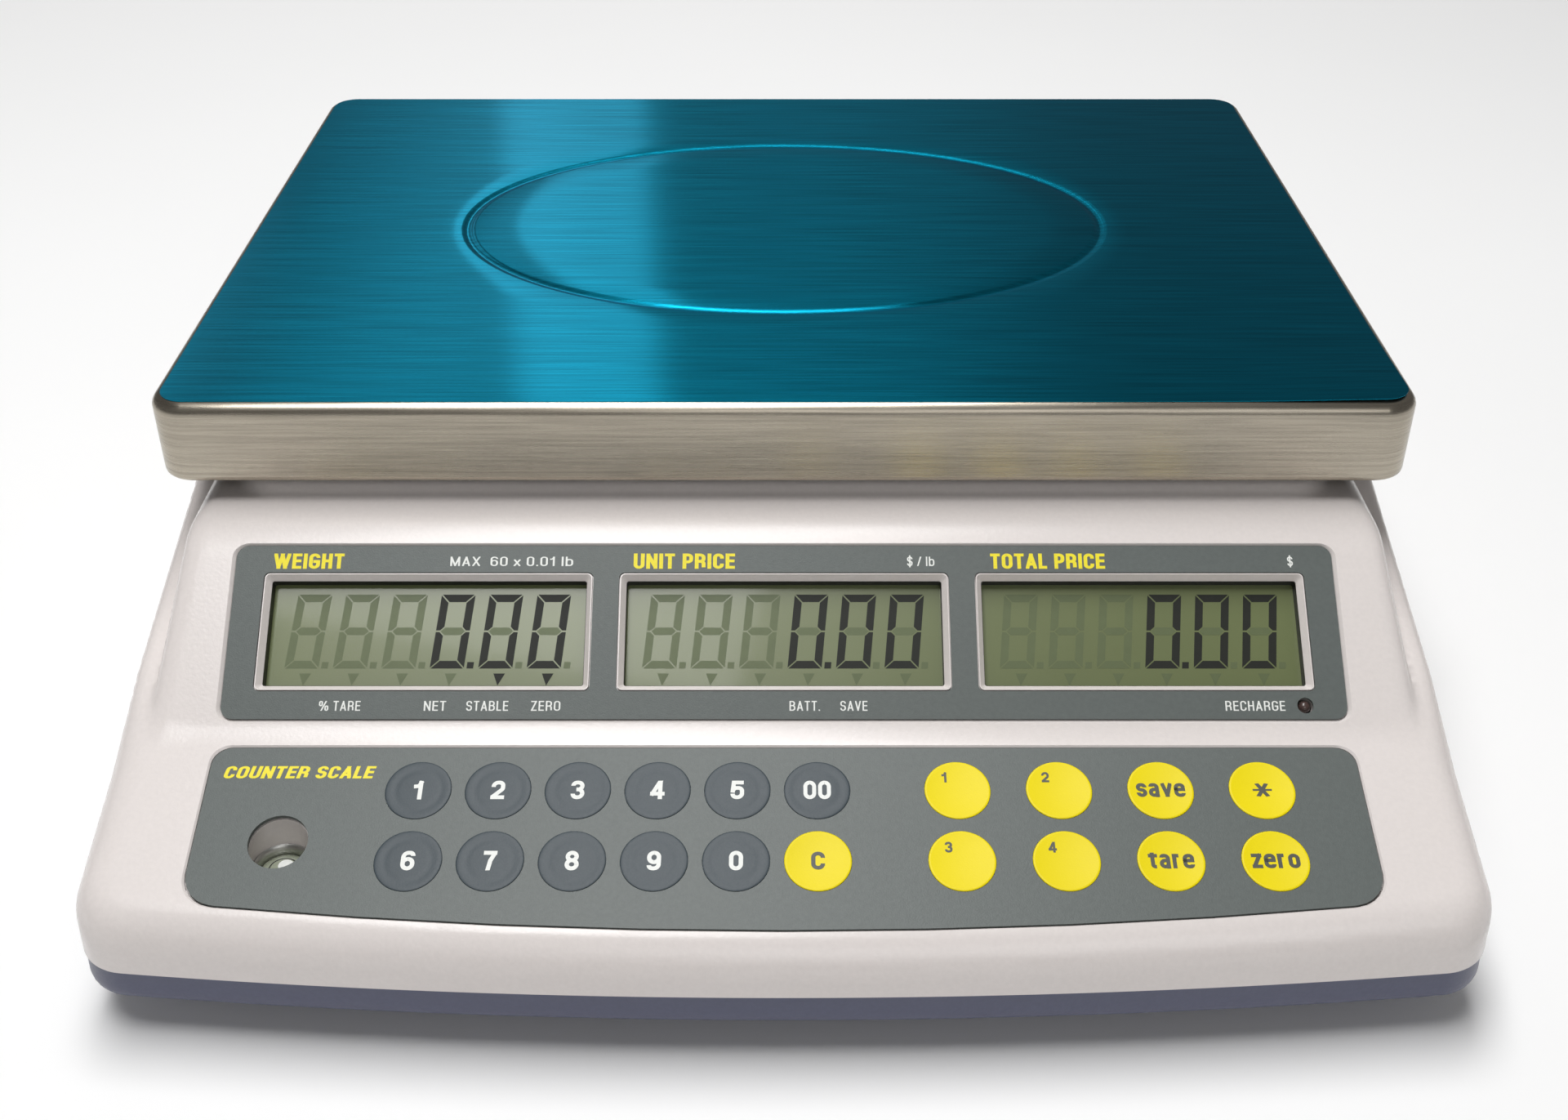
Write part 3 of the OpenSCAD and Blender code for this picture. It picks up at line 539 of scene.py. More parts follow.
def upper_casing():
    """Shell, screw posts and sight tube, with every opening cut, the spider's neck's too."""
    casing = surface("upper_casing", upper_form, 12, 89, SKIN_STEP)
    combine(casing, [surface("cavity", upper_cavity, 8, 84, CAVITY_STEP)], "DIFFERENCE")
    posts = [post("post", x, y, POST_R, SPLIT_Z + 0.2, hollow_form, 1.4) for x, y in SCREWS]
    posts.append(post("sight_tube", LEVEL_X, LEVEL_Y, 8.4, 31, hollow_form, 2.2))
    combine(casing, posts, "UNION")
    cutters = [
        prism("cut", rounded_rect(400, 400, 1), SPLIT_Z - 20, SPLIT_Z),
        *rods("cut", SCREWS, PILOT_R, SPLIT_Z - 2, SPLIT_Z + 12, 24),
        *display_cutters(DISPLAY, WINDOW_MID),
        *display_cutters(REAR, REAR_MID),
        recess("cut", keypad_outline, -1.6, 0.4, KEYPAD),
        prism("cut", circle(1.9, 24, LAMP_X, LAMP_Y), -8, 2, DISPLAY),
        prism("cut", circle(SIGHT_R, 48, LEVEL_X, LEVEL_Y), 26, 60),
        prism("cut", circle(NECK_R, 64, NECK_X, PAN_Y), 60, 95),
        *side_cutters(),
    ]
    combine(casing, cutters, "DIFFERENCE")
    return dress(casing, UPPER, stands_for=["top_housing"], smooth=32)


def base_casing():
    """Tray with its posts, and holes for screws, feet and the battery cover."""
    casing = surface("base_casing", base_form, 8, 25, SKIN_STEP)
    combine(casing, [surface("cavity", base_cavity, 8, 34, CAVITY_STEP)], "DIFFERENCE")
    chassis_posts = [(x, y) for x in (-90, 90) for y in (-90, 40)]
    posts = [
        *rods("post", SCREWS, POST_R, 11.5, SPLIT_Z),
        *rods("post", COVER_SCREWS, POST_R, 12, 27.1),
        *rods("post", chassis_posts, 6, 12, 18),
        *rods("post", [(LEVEL_X, LEVEL_Y)], 8, 12, 20.1),
    ]
    combine(casing, posts, "UNION")
    cover = Matrix.Translation((0, COVER_Y, 0))
    under, cover_seat = BASE_Z - 2, BASE_Z + 1.3
    cutters = [
        prism("cut", rounded_rect(400, 400, 1), SPLIT_Z - 0.1, 60),
        *rods("cut", SCREWS, CLEARANCE_R, under, BASE_Z + 11, 24),
        *rods("cut", SCREWS, HEAD_R, under, BASE_Z + 2.6),
        *rods("cut", COVER_SCREWS, PILOT_R, under, BASE_Z + 17, 24),
        *rods("cut", FEET.values(), FOOT_HOLE_R, under, BASE_Z + 9, 40),
        prism("cut", rounded_rect(106, 73, 3), 8, 22, cover),
        prism("cut", rounded_rect(114.6, 82.6, 4.3), 8, cover_seat, cover),
        *rods("cut", COVER_SCREWS, 7.3, 8, cover_seat, 40),
    ]
    combine(casing, cutters, "DIFFERENCE")
    return dress(casing, BASE, stands_for=["base_housing"], smooth=32)


upper_casing()
base_casing()


# ---------- Pan and protective film ----------

RING_HALF = (92.0, 61.5)
RING_Y, RING_EDGE, RING_DEPTH = 2.0, 2.2, 0.55
FILM_INSET, FILM_R = 2.3, 6.8


def pan_outline(inset):
    """The pan's outline, moved inwards."""
    return rounded_rect(PAN_W - 2 * inset, PAN_D - 2 * inset, max(PAN_R - inset, 1.5), 10, 24)


def ring_loop(outline, grow, z):
    """An oval loop round the pressed ring, its points in the same directions as the outline's."""
    a = np.arctan2(outline[:, 1] / PAN_D, outline[:, 0] / PAN_W)
    oval = np.column_stack([(RING_HALF[0] + grow) * np.cos(a), (RING_HALF[1] + grow) * np.sin(a) + RING_Y])
    return level_loop(oval, z)


def pan_top(edge, z, depth):
    """Loops of the pan's top from its edge loop inwards: flat, the pressed ring, flat."""
    loops = []
    target = ring_loop(edge, RING_EDGE, z)
    start = level_loop(edge, z)
    loops += [start + (target - start) * t for t in (0.03, 0.2, 0.45, 0.7, 0.9, 1.0)]
    for k in range(1, 8):
        s = k / 8
        grow = RING_EDGE - 2 * RING_EDGE * s
        loops.append(ring_loop(edge, grow, z - depth * math.sin(math.pi * s) ** 2))
    inner = ring_loop(edge, -RING_EDGE, z)
    loops.append(inner)
    middle = np.array((0, RING_Y, z))
    loops += [middle + (inner - middle) * t for t in (0.85, 0.6, 0.35, 0.12, 0.02)]
    return loops


def brushing_map(made):
    """U runs along the brushing: across the top, round the skirt."""
    layer = made.data.uv_layers.new(name="brushing")
    co = np.array([v.co for v in made.data.vertices])
    for face in made.data.polygons:
        n = face.normal
        for loop in face.loop_indices:
            x, y, z = co[made.data.loops[loop].vertex_index]
            if abs(n.z) > 0.7:
                layer.data[loop].uv = (x, y)
            elif abs(n.y) > abs(n.x):
                layer.data[loop].uv = (x, z)
            else:
                layer.data[loop].uv = (y, z)


def pan():
    """Pressed sheet: skirt, bend, top and ring, outside and inside."""
    place = Matrix.Translation((0, PAN_Y, 0))
    low, bend, inner_bend = PAN_Z - PAN_SKIRT, 3.0, 2.2
    foot_edge = ((0.9, low), (0.45, low + 0.12), (0.12, low + 0.5), (0, low + 1.4))
    loops = [level_loop(pan_outline(i), z) for i, z in foot_edge]
    for k in range(9):
        a = math.radians(90 * k / 8)
        loops.append(level_loop(pan_outline(bend * (1 - math.cos(a))), PAN_Z - bend + bend * math.sin(a)))
    loops += pan_top(pan_outline(bend), PAN_Z, RING_DEPTH)
    inner = [level_loop(pan_outline(i), z) for i, z in ((1.1, low + 0.25), (PAN_T, low + 1.4))]
    for k in range(7):
        a = math.radians(90 * k / 6)
        inset = PAN_T + inner_bend * (1 - math.cos(a))
        inner.append(level_loop(pan_outline(inset), PAN_Z - PAN_T - inner_bend + inner_bend * math.sin(a)))
    inner += pan_top(pan_outline(PAN_T + inner_bend), PAN_Z - PAN_T, RING_DEPTH)
    made = loft("pan", loops + inner[::-1], place, closed_path=True)
    brushing_map(made)
    return dress(made, STAINLESS, "pan", ["platter"], smooth=50)


def lifted(loops):
    """The film's corner at the right front has come loose and curls a little."""
    corner = np.array((PAN_W / 2 - 4, -PAN_D / 2 + 4))
    curl, reach = 0.7, 26
    for loop in loops:
        d = np.hypot(loop[:, 0] - corner[0], (loop[:, 1] - corner[1]) * 1.4)
        loop[:, 2] += curl * np.exp(-(d / reach) ** 2)
    return loops


def film():
    """The film that follows the pan's top."""
    place = Matrix.Translation((0, PAN_Y, 0))
    edge = rounded_rect(PAN_W - 2 * FILM_INSET, PAN_D - 2 * FILM_INSET, FILM_R, 10, 24)
    depth = RING_DEPTH - 0.05
    low = [level_loop(edge, PAN_Z + 0.02)] + pan_top(edge, PAN_Z + 0.03, depth)
    high = [level_loop(edge, PAN_Z + 0.1)] + pan_top(edge, PAN_Z + 0.13, depth)
    made = loft("protective_film_sheet", lifted(low[::-1] + high), place)
    brushing_map(made)
    return dress(made, FILM, "pan", ["protective_film"], smooth=60)


pan()
film()


# ---------- Lettering ----------

INK = 0.04
LOW = 0.72
# Each glyph: its width as a share of the style's, then its strokes. A stroke is a path of
# (across, up) or (across, up, roundness) points on a unit box; "o" closes it.
BOWL = ("o", (0, 0, 1), (1, 0, 1), (1, 1, 1), (0, 1, 1))
S_PATH = ((1, 0.76), (1, 1, 1), (0, 1, 1), (0, 0.53, 1), (1, 0.49, 1), (1, 0, 1), (0, 0, 1), (0, 0.25))
GLYPHS = {
    "A": (1.08, [((-0.15, -0.3), (0.5, 1)), ((0.5, 1), (1.15, -0.3)), ((0.2, 0.26), (0.8, 0.26))]),
    "B": (1.02, [((0, 0), (0, 1)), ((0, 1), (0.93, 1, 1), (0.93, 0.53, 1), (0, 0.53)),
                 ((0, 0.53), (1, 0.53, 1), (1, 0, 1), (0, 0))]),
    "C": (1.0, [((1, 0.7), (1, 1, 1), (0, 1, 1), (0, 0, 1), (1, 0, 1), (1, 0.3))]),
    "E": (0.88, [((0, 0), (0, 1)), ((0, 1), (1, 1)), ((0, 0.52), (0.92, 0.52)), ((0, 0), (1, 0))]),
    "G": (1.04, [((1, 0.76), (1, 1, 1), (0, 1, 1), (0, 0, 1), (1, 0, 1), (1, 0.47), (0.58, 0.47))]),
    "H": (1.0, [((0, 0), (0, 1)), ((1, 0), (1, 1)), ((0, 0.52), (1, 0.52))]),
    "I": (0.0, [((0.5, 0), (0.5, 1))]),
    "L": (0.82, [((0, 0), (0, 1)), ((0, 0), (1, 0))]),
    "M": (1.3, [((0, 0), (0, 1)), ((1, 0), (1, 1)), ((-0.1, 1.2), (0.5, 0)), ((1.1, 1.2), (0.5, 0))]),
    "N": (1.04, [((0, 0), (0, 1)), ((1, 0), (1, 1)), ((-0.1, 1.1), (1.1, -0.1))]),
    "O": (1.04, [BOWL]),
    "P": (0.98, [((0, 0), (0, 1)), ((0, 1), (1, 1, 1), (1, 0.44, 1), (0, 0.44))]),
    "R": (1.02, [((0, 0), (0, 1)), ((0, 1), (0.96, 1, 1), (0.96, 0.48, 1), (0, 0.48)),
                 ((0.5, 0.48), (0.96, 0.44, 0.8), (0.98, 0))]),
    "S": (0.98, [S_PATH]),
    "T": (0.94, [((0, 1), (1, 1)), ((0.5, 0), (0.5, 1))]),
    "U": (1.02, [((0, 1.12), (0, 0, 1), (1, 0, 1), (1, 1.12))]),
    "V": (1.04, [((-0.1, 1.2), (0.5, 0)), ((1.1, 1.2), (0.5, 0))]),
    "W": (1.6, [((-0.05, 1.2), (0.25, 0)), ((0.55, 1.2), (0.25, 0)), ((0.45, 1.2), (0.75, 0)),
                ((1.05, 1.2), (0.75, 0))]),
    "X": (1.04, [((-0.2, -0.2), (1.2, 1.2)), ((-0.2, 1.2), (1.2, -0.2))]),
    "Z": (0.92, [((0, 1), (1, 1)), ((1, 1), (0, 0)), ((0, 0), (1, 0))]),
    "0": (1.0, [BOWL]),
    "1": (0.74, [((0.8, 0), (0.8, 1)), ((0, 0.76), (0.5, 0.78), (0.8, 1))]),
    "2": (1.0, [((0, 0.7), (0, 1, 1), (1, 1, 1), (1, 0.56, 0.8), (0, 0.04)), ((0, 0), (1, 0))]),
    "3": (1.0, [((0, 0.78), (0, 1, 1), (0.96, 1, 1), (0.96, 0.53, 1), (0.35, 0.53)),
                ((0.35, 0.53), (1, 0.53, 1), (1, 0, 1), (0, 0, 1), (0, 0.24))]),
    "4": (1.06, [((0.76, 0), (0.76, 1)), ((0, 0.24), (1, 0.24)), ((0, 0.24), (0.76, 1.1))]),
    "5": (1.0, [((0.94, 1), (0.12, 1), (0.02, 0.44)),
                ((0.08, 0.5), (0.25, 0.63, 0.6), (1, 0.63, 1), (1, 0, 1), (0, 0, 1), (0, 0.24))]),
    "6": (1.0, [("o", (0, 0, 1), (1, 0, 1), (1, 0.6, 1), (0, 0.6, 1)),
                ((0, 0.3), (0, 1, 1), (1, 1, 1), (1, 0.8))]),
    "7": (0.96, [((0, 1), (1, 1)), ((1, 1), (0.55, 0.5), (0.33, -0.2))]),
    "8": (1.0, [("o", (0.05, 0.52, 1), (0.95, 0.52, 1), (0.95, 1, 1), (0.05, 1, 1)),
                ("o", (0, 0, 1), (1, 0, 1), (1, 0.52, 1), (0, 0.52, 1))]),
    "9": (1.0, [("o", (0, 0.4, 1), (1, 0.4, 1), (1, 1, 1), (0, 1, 1)),
                ((1, 0.7), (1, 0, 1), (0, 0, 1), (0, 0.2))]),
    "a": (0.98, [((0.04, 0.6), (0.04, LOW, 1), (0.94, LOW, 1), (0.94, -0.13)),
                 ((0.94, 0.4), (0, 0.4, 1), (0, 0, 1), (0.94, 0, 1), (0.94, 0.2))]),
    "b": (1.0, [((0, 0), (0, 1)), ("o", (0, 0, 1), (1, 0, 1), (1, LOW, 1), (0, LOW, 1))]),
    "e": (1.0, [((0, 0.4), (1, 0.4), (1, LOW, 1), (0, LOW, 1), (0, 0, 1), (1, 0, 1), (1, 0.14))]),
    "l": (0.0, [((0.5, 0), (0.5, 1))]),
    "o": (1.0, [("o", (0, 0, 1), (1, 0, 1), (1, LOW, 1), (0, LOW, 1))]),
    "r": (0.76, [((0, 0), (0, LOW)), ((0, 0.36), (0.1, LOW, 0.8), (1, LOW))]),
    "s": (0.96, [tuple((p[0], p[1] * LOW, *p[2:]) for p in S_PATH)]),
    "t": (0.8, [((0.42, 0.92), (0.42, 0, 0.9), (1.1, 0)), ((0, LOW), (1, LOW))]),
    "v": (1.0, [((0, LOW), (0.5, 0)), ((1, LOW), (0.5, 0))]),
    "x": (0.9, [((0, 0), (1, 0.66)), ((0, 0.66), (1, 0))]),
    "z": (0.9, [((0, LOW), (1, LOW)), ((1, LOW), (0, 0)), ((0, 0), (1, 0))]),
    ".": (0.0, [((0.5, 0), (0.5, 0.01))]),
    "/": (0.8, [((-0.1, -0.15), (1.1, 1.15))]),
    "$": (0.98, [S_PATH, ((0.5, -0.2), (0.5, 1.2))]),
    "%": (1.7, [("o", (0, 0.52, 1), (0.3, 0.52, 1), (0.3, 1, 1), (0, 1, 1)), ((0.2, -0.1), (0.8, 1.1)),
                ("o", (0.7, 0, 1), (1, 0, 1), (1, 0.48, 1), (0.7, 0.48, 1))]),
    "*": (1.1, [((0, 0.5), (1, 0.5)), ((0.22, 0.12), (0.78, 0.88)), ((0.22, 0.88), (0.78, 0.12))]),
}
# Each style: glyph width, stroke and gap between glyphs, as shares of the cap height
BOLD, PLAIN, FULL = (0.52, 0.185, 0.085), (0.46, 0.115, 0.13), (0.64, 0.2, 0.1)
# Letters whose strokes run past the cap height and are cut off there
CLIPPED = "AMNVWX/%7$4vz"
drawn = {}


def rounded_path(points, closed, steps=6):
    """A path with its corners replaced by arcs of the given radii."""
    path = []
    for i, (x, y, r) in enumerate(points):
        here = np.array((x, y))
        if r == 0 or (not closed and i in (0, len(points) - 1)):
            path.append(here)
            continue
        u = np.array(points[i - 1][:2]) - here
        v = np.array(points[(i + 1) % len(points)][:2]) - here
        lu = np.linalg.norm(u) * (0.99 if not closed and i == 1 else 0.499)
        lv = np.linalg.norm(v) * (0.99 if not closed and i == len(points) - 2 else 0.499)
        u, v = unit(u), unit(v)
        # The arc is made smaller where a side is too short for it
        slant = math.tan(math.acos(float(np.clip(u @ v, -1, 1))) / 2)
        path += corner_arc(here, u, v, min(r / slant, lu, lv) * slant, steps)
    return np.array(path)


def ribbon(path, width, closed, longer):
    """A path given its stroke width as a flat solid. longer says which ends pass their point."""
    path = path.copy()
    if longer[0]:
        path[0] -= unit(path[1] - path[0]) * width / 2
    if longer[1]:
        path[-1] += unit(path[-1] - path[-2]) * width / 2
    rings = []
    n = len(path)
    for i, here in enumerate(path):
        before = path[i - 1] if closed or i else here
        after = path[(i + 1) % n] if closed or i < n - 1 else here
        a = (here - before) / max(np.linalg.norm(here - before), 1e-9)
        b = (after - here) / max(np.linalg.norm(after - here), 1e-9)
        along = unit(a + b)
        mitre = max(abs(float(along @ (a if a.any() else b))), 0.5)
        across = np.array((-along[1], along[0])) * width / 2 / mitre
        left, right = here + across, here - across
        rings.append(np.array([(*left, 0), (*right, 0), (*right, 1), (*left, 1)]))
    return loft("stroke", rings, closed_path=closed)


def glyph(letter, style):
    """Points and faces of one letter at cap height 1, and its width."""
    if (letter, style) in drawn:
        return drawn[letter, style]
    share, strokes = GLYPHS[letter]
    wide, stroke, _ = style
    width = max(wide * share, stroke)
    spare = width - stroke
    parts = []
    for path in strokes:
        closed = path[0] == "o"
        points = [
            (stroke / 2 + p[0] * spare, stroke / 2 + p[1] * (1 - stroke),
             (p[2] if len(p) > 2 else 0) * spare / 2)
            for p in path[closed:]
        ]
        # Ends of curved strokes stop at their point, so that letters stay open
        longer = [not closed and p[2] == 0 for p in (points[1], points[-2])]
        parts.append(ribbon(rounded_path(points, closed), stroke, closed, longer))
    whole = parts[0]
    if len(parts) > 1:
        combine(whole, parts[1:], "UNION")
    top = 0.14 if letter == "$" else 0
    if letter in CLIPPED:
        box = [(0, -top), (width, -top), (width, 1 + top), (0, 1 + top)]
        combine(whole, [prism("clip", np.array(box), -1, 2)], "INTERSECT")
    points = np.array([v.co for v in whole.data.vertices]).reshape(-1, 3) / MM
    faces = [tuple(f.vertices) for f in whole.data.polygons]
    bpy.data.objects.remove(whole)
    drawn[letter, style] = points, faces, width
    return drawn[letter, style]


def gather(parts):
    """Joins [points, faces] pairs into one."""
    points, faces, start = [], [], 0
    for p, f in parts:
        points.append(p)
        faces += [tuple(start + i for i in face) for face in f]
        start += len(p)
    return np.concatenate(points), faces


def lettering(text, cap, style, width=None, slant=0.0):
    """Points and faces of a line of text from x = 0, stretched to a width if one is given."""
    parts, x = [], 0.0
    for letter in text:
        if letter == " ":
            x += style[0] * 0.55
            continue
        points, faces, wide = glyph(letter, style)
        parts.append((points + np.array((x, 0, 0)), faces))
        x += wide + style[2]
    points, faces = gather(parts)
    across = cap if width is None else width / (x - style[2])
    points = points * np.array((across, cap, INK))
    points[:, 0] += points[:, 1] * slant
    return points, faces


def printed(name, lines, ink, style, where, height, slant=0.0):
    """Lines of text (words, left end, foot, cap height, width) printed on a panel."""
    parts = []
    for text, x, y, cap, width in lines:
        points, faces = lettering(text, cap, style, width, slant)
        parts.append((points + np.array((x, y, height)), faces))
    points, faces = gather(parts)
    return dress(shell(name, placed(points, where), faces), ink, smooth=20)


HEADINGS = [
    ("WEIGHT", -123.9, 41.6, 3.9, 17.1),
    ("UNIT PRICE", -36.5, 41.6, 3.9, 24.6),
    ("TOTAL PRICE", 50.1, 41.6, 3.9, 27.8),
]
ABOVE = [("MAX  60 x 0.01 lb", -81.0, 29.8), ("$ / lb", 29.9, 6.6), ("$", 122.2, 1.3)]
BELOW = [
    ("% TARE", -109.8, 9.8), ("NET", -85.0, 5.2), ("STABLE", -75.0, 9.9), ("ZERO", -59.7, 6.9),
    ("BATT.", 1.3, 7.2), ("SAVE", 13.3, 6.4), ("RECHARGE", 104.2, 14.1),
]
SMALL = [(text, x, y, 2.4, w) for y, row in ((42.3, ABOVE), (6.1, BELOW)) for text, x, w in row]
REAR_HEADINGS = [
    (text, x, 46.8, cap, width)
    for (text, _, _, cap, width), x in zip(HEADINGS, (-94.5, -12.3, 72.0))
]
TITLE = [("COUNTER SCALE", -129.5, -11.6, 3.3, 34.5)]
printed("display_headings", HEADINGS, YELLOW_INK, BOLD, DISPLAY, OVERLAY_TOP)
printed("display_small_text", SMALL, WHITE_INK, PLAIN, DISPLAY, OVERLAY_TOP)
printed("keypad_title", TITLE, YELLOW_INK, BOLD, KEYPAD, -0.1, 0.2)
printed("rear_headings", REAR_HEADINGS, YELLOW_INK, BOLD, REAR, OVERLAY_TOP)


# ---------- Liquid crystal digits ----------

DIGIT_W, DIGIT_H, STROKE, DIGIT_PITCH = 8.2, 18.7, 1.9, 11.65
DIGIT_Y, ARROW_Y = 1.3, -10.8
LEAN = math.tan(math.radians(5.5))
GAP = 0.22


def mirrored(outline, across, up):
    """An outline turned over: -1 for across or up turns it that way."""
    return [(across * x, up * y) for x, y in outline]


def segment_shapes():
    """The seven bars of a digit centred on its own middle, mitred where they meet."""
    w, h, t, g = DIGIT_W / 2, DIGIT_H / 2, STROKE, GAP
    top = [(-w + g, h), (w - g, h), (w - t - g, h - t), (-w + t + g, h - t)]
    upper = [(w, h - g), (w, g), (w - t / 2, g), (w - t, t / 2 + g), (w - t, h - t - g)]
    middle = [(-w + t * 0.6, 0), (-w + t + g, t / 2), (w - t - g, t / 2), (w - t * 0.6, 0),
              (w - t - g, -t / 2), (-w + t + g, -t / 2)]
    return {
        "top": top,
        "bottom": mirrored(top, 1, -1),
        "upper_right": upper,
        "upper_left": mirrored(upper, -1, 1),
        "lower_right": mirrored(upper, 1, -1),
        "lower_left": mirrored(upper, -1, -1),
        "middle": middle,
    }


def bar(shape, x, y):
    """A thin plate of the given outline on the glass."""
    flat = [(px + py * LEAN + x, py + y) for px, py in shape]
    n = len(flat)
    points = np.array([(*p, z) for z in (0.0, 0.03) for p in flat])
    return points, loft_faces(n, 2)


POINT = [(-0.8, -0.8), (0.8, -0.8), (0.8, 0.8), (-0.8, 0.8)]
ARROW = [(-1.4, 1.5), (1.4, 1.5), (0, -1.5)]


def lcd_marks(name, where, middle, marked):
    """Dark and unlit marks of one window. marked are the digits whose arrows are on."""
    dark, ghost = [], []
    shapes = segment_shapes()
    for d in range(6):
        x = (d - 2.5) * DIGIT_PITCH
        lit = d >= 3
        for part, shape in shapes.items():
            (dark if lit and part != "middle" else ghost).append(bar(shape, x, DIGIT_Y))
        spot = x + DIGIT_PITCH / 2 - 0.3 - LEAN * 8.4
        (dark if d == 3 else ghost).append(bar(POINT, spot, DIGIT_Y - DIGIT_H / 2 + 0.8))
        (dark if d in marked else ghost).append(bar(ARROW, x, ARROW_Y))
    place = where @ Matrix.Translation((0, middle, -LCD_DEPTH))
    for kind, parts, ink in (("dark", dark, SEGMENT), ("ghost", ghost, GHOST)):
        points, faces = gather(parts)
        dress(shell(f"{name}_{kind}", placed(points, place), faces), ink, smooth=20)


def window_gasket(name, where, middle):
    """Black frame between the glass and the casing: partly a foam gasket, partly painted shade that stands
    in for the shadow in the gap under the window's edge.
    """
    place = where @ Matrix.Translation((0, middle, 0))
    loops = [
        level_loop(rounded_rect(w, h, 0.6), z)
        for w, h, z in ((82, 31, -4.55), (82, 31, -3), (76.2, 26.2, -2), (76.2, 26.2, -4.55))
    ]
    dress(loft(name, loops, place, closed_path=True), BLACK)


for side, where, middle in (("front", DISPLAY, WINDOW_MID), ("rear", REAR, REAR_MID)):
    for i, marked in ((-1, (4, 5)), (0, ()), (1, ())):
        spot = where @ Matrix.Translation((i * WINDOW_PITCH, 0, 0))
        lcd_marks(f"digits_{side}_{i + 2}", spot, middle, marked)
        # The black frame round each window is partly painted shade, standing in for the shadow in the gap
        # between the glass and the casing.
        window_gasket(f"shade_gasket_{side}_{i + 2}", spot, middle)


# ---------- Keys ----------

LEGEND_Z = 0.11
DISHED = [(0, -0.3), (7.45, -0.3), (7.57, -0.18), (7.57, 0.02), (7.45, 0.07), (7.2, 0.1), (6.7, 0.11),
          (6.2, 0.1), (5.7, 0.07), (5.3, 0.06), (4.9, 0.07), (4.4, 0.1), (4.0, 0.11), (0, 0.11)]
FLAT = [(0, -0.3), (7.45, -0.3), (7.57, -0.18), (7.57, -0.02), (7.45, 0.1), (7.25, 0.16), (7.05, 0.16),
        (6.85, 0.11), (0, 0.11)]
# Legends that aren't a full-size figure: text, cap height, style, width and place on the key
LEGENDS = {
    "00": ("00", 4.9, FULL, 6.3, (0, 0)),
    "c": ("C", 4.5, FULL, 3.1, (0, 0)),
    **{f"m{n}": (str(n), 2.7, FULL, None, (-2.9, 3.4)) for n in range(1, 5)},
    "save": ("save", 4.7, BOLD, 11.2, (0, 0)),
    "star": ("*", 4.3, PLAIN, 4.4, (0, 0)),
    "tare": ("tare", 4.7, BOLD, 10.2, (0, 0)),
    "zero": ("zero", 4.7, BOLD, 10.8, (0, 0)),
}
NUMBER_KEYS = ("1", "2", "3", "4", "5", "00", "6", "7", "8", "9", "0", "c")
FUNCTION_KEYS = ("m1", "m2", "save", "star", "m3", "m4", "tare", "zero")


def key(name, x, row):
    """One key cap and its legend."""
    grey = name in NUMBER_KEYS[:11]
    place = KEYPAD @ Matrix.Translation((x, KEY_ROW - KEY_PITCH * row, 0))
    body = f"key_{name}"
    cap = lathe(f"{body}_cap", DISHED if grey else FLAT, place, 64)
    dress(cap, GREY_KEY if grey else YELLOW_KEY, body, [body], 25)
    text, height, style, width, offset = LEGENDS.get(name, (name, 4.9, FULL, None, (0, 0)))
    points, faces = lettering(text, height, style, width)
    points[:, :2] += np.array(offset) - (points[:, :2].max(0) + points[:, :2].min(0)) / 2
    points[:, 2] += LEGEND_Z
    legend = shell(f"{body}_legend", placed(points, place), faces)
    dress(legend, WHITE_INK if grey else DARK_INK, body, smooth=20)


for i, name in enumerate(NUMBER_KEYS):
    key(name, FIRST_NUMBER_X + KEY_PITCH * (i % 6), i // 6)
for i, name in enumerate(FUNCTION_KEYS):
    key(name, FIRST_FUNCTION_X + FUNCTION_PITCH * (i % 4), i // 4)


# ---------- Bubble level ----------

def ring(name, profile, where, steps=48):
    """A ring of revolution about Z through a closed loop of [radius, z] points."""
    return loft(name, [level_loop(circle(r, steps), z) for r, z in profile], where, closed_path=True)


LEVEL = Matrix.Translation((LEVEL_X, LEVEL_Y, 0))
SEAT_Z, GLASS_Z, DOME_Z = 20.0, 31.2, 32.2


def bubble_level():
    """Cup, bezel, domed glass with its printed mark, and the bubble."""
    cup = [(0.01, SEAT_Z), (7.2, SEAT_Z), (7.2, 28), (8.2, 28.2), (8.2, 30.9), (5.7, 30.9),
           (5.7, SEAT_Z + 2), (0.01, SEAT_Z + 2)]
    dress(ring("level_cup", cup, LEVEL), VIAL, stands_for=["level_vial"])
    bezel = [(6.7, 30.5), (6.7, 33.6), (6.4, 33.9), (6.0, 33.6), (5.7, 32.4), (5.7, 30.5)]
    dress(ring("level_bezel", bezel, LEVEL), STEEL)
    glass = [(0, 22.2), (5.6, 22.2), (5.6, GLASS_Z), (5.2, GLASS_Z + 0.5), (4.2, GLASS_Z + 0.9),
             (2.8, GLASS_Z + 1.2), (1.4, GLASS_Z + 1.35), (0, GLASS_Z + 1.4)]
    dress(lathe("level_glass", glass, LEVEL), LENS, stands_for=["level_lens"])
    mark = [(3.0, DOME_Z), (3.3, DOME_Z), (3.3, DOME_Z + 0.14), (3.0, DOME_Z + 0.2)]
    dress(ring("level_mark", mark, LEVEL), BLACK)
    bubble = [(0, DOME_Z), (1.9, DOME_Z + 0.2), (1.7, DOME_Z + 0.5), (1.0, DOME_Z + 0.7), (0, DOME_Z + 0.75)]
    dress(lathe("level_bubble", bubble, LEVEL @ Matrix.Translation((0.5, 0.7, 0))), VIAL)


bubble_level()


# ---------- Levelling feet ----------

STUD_R, ROOT_R, THREAD, THREAD_Z = 4.0, 3.45, 1.25, 9.8


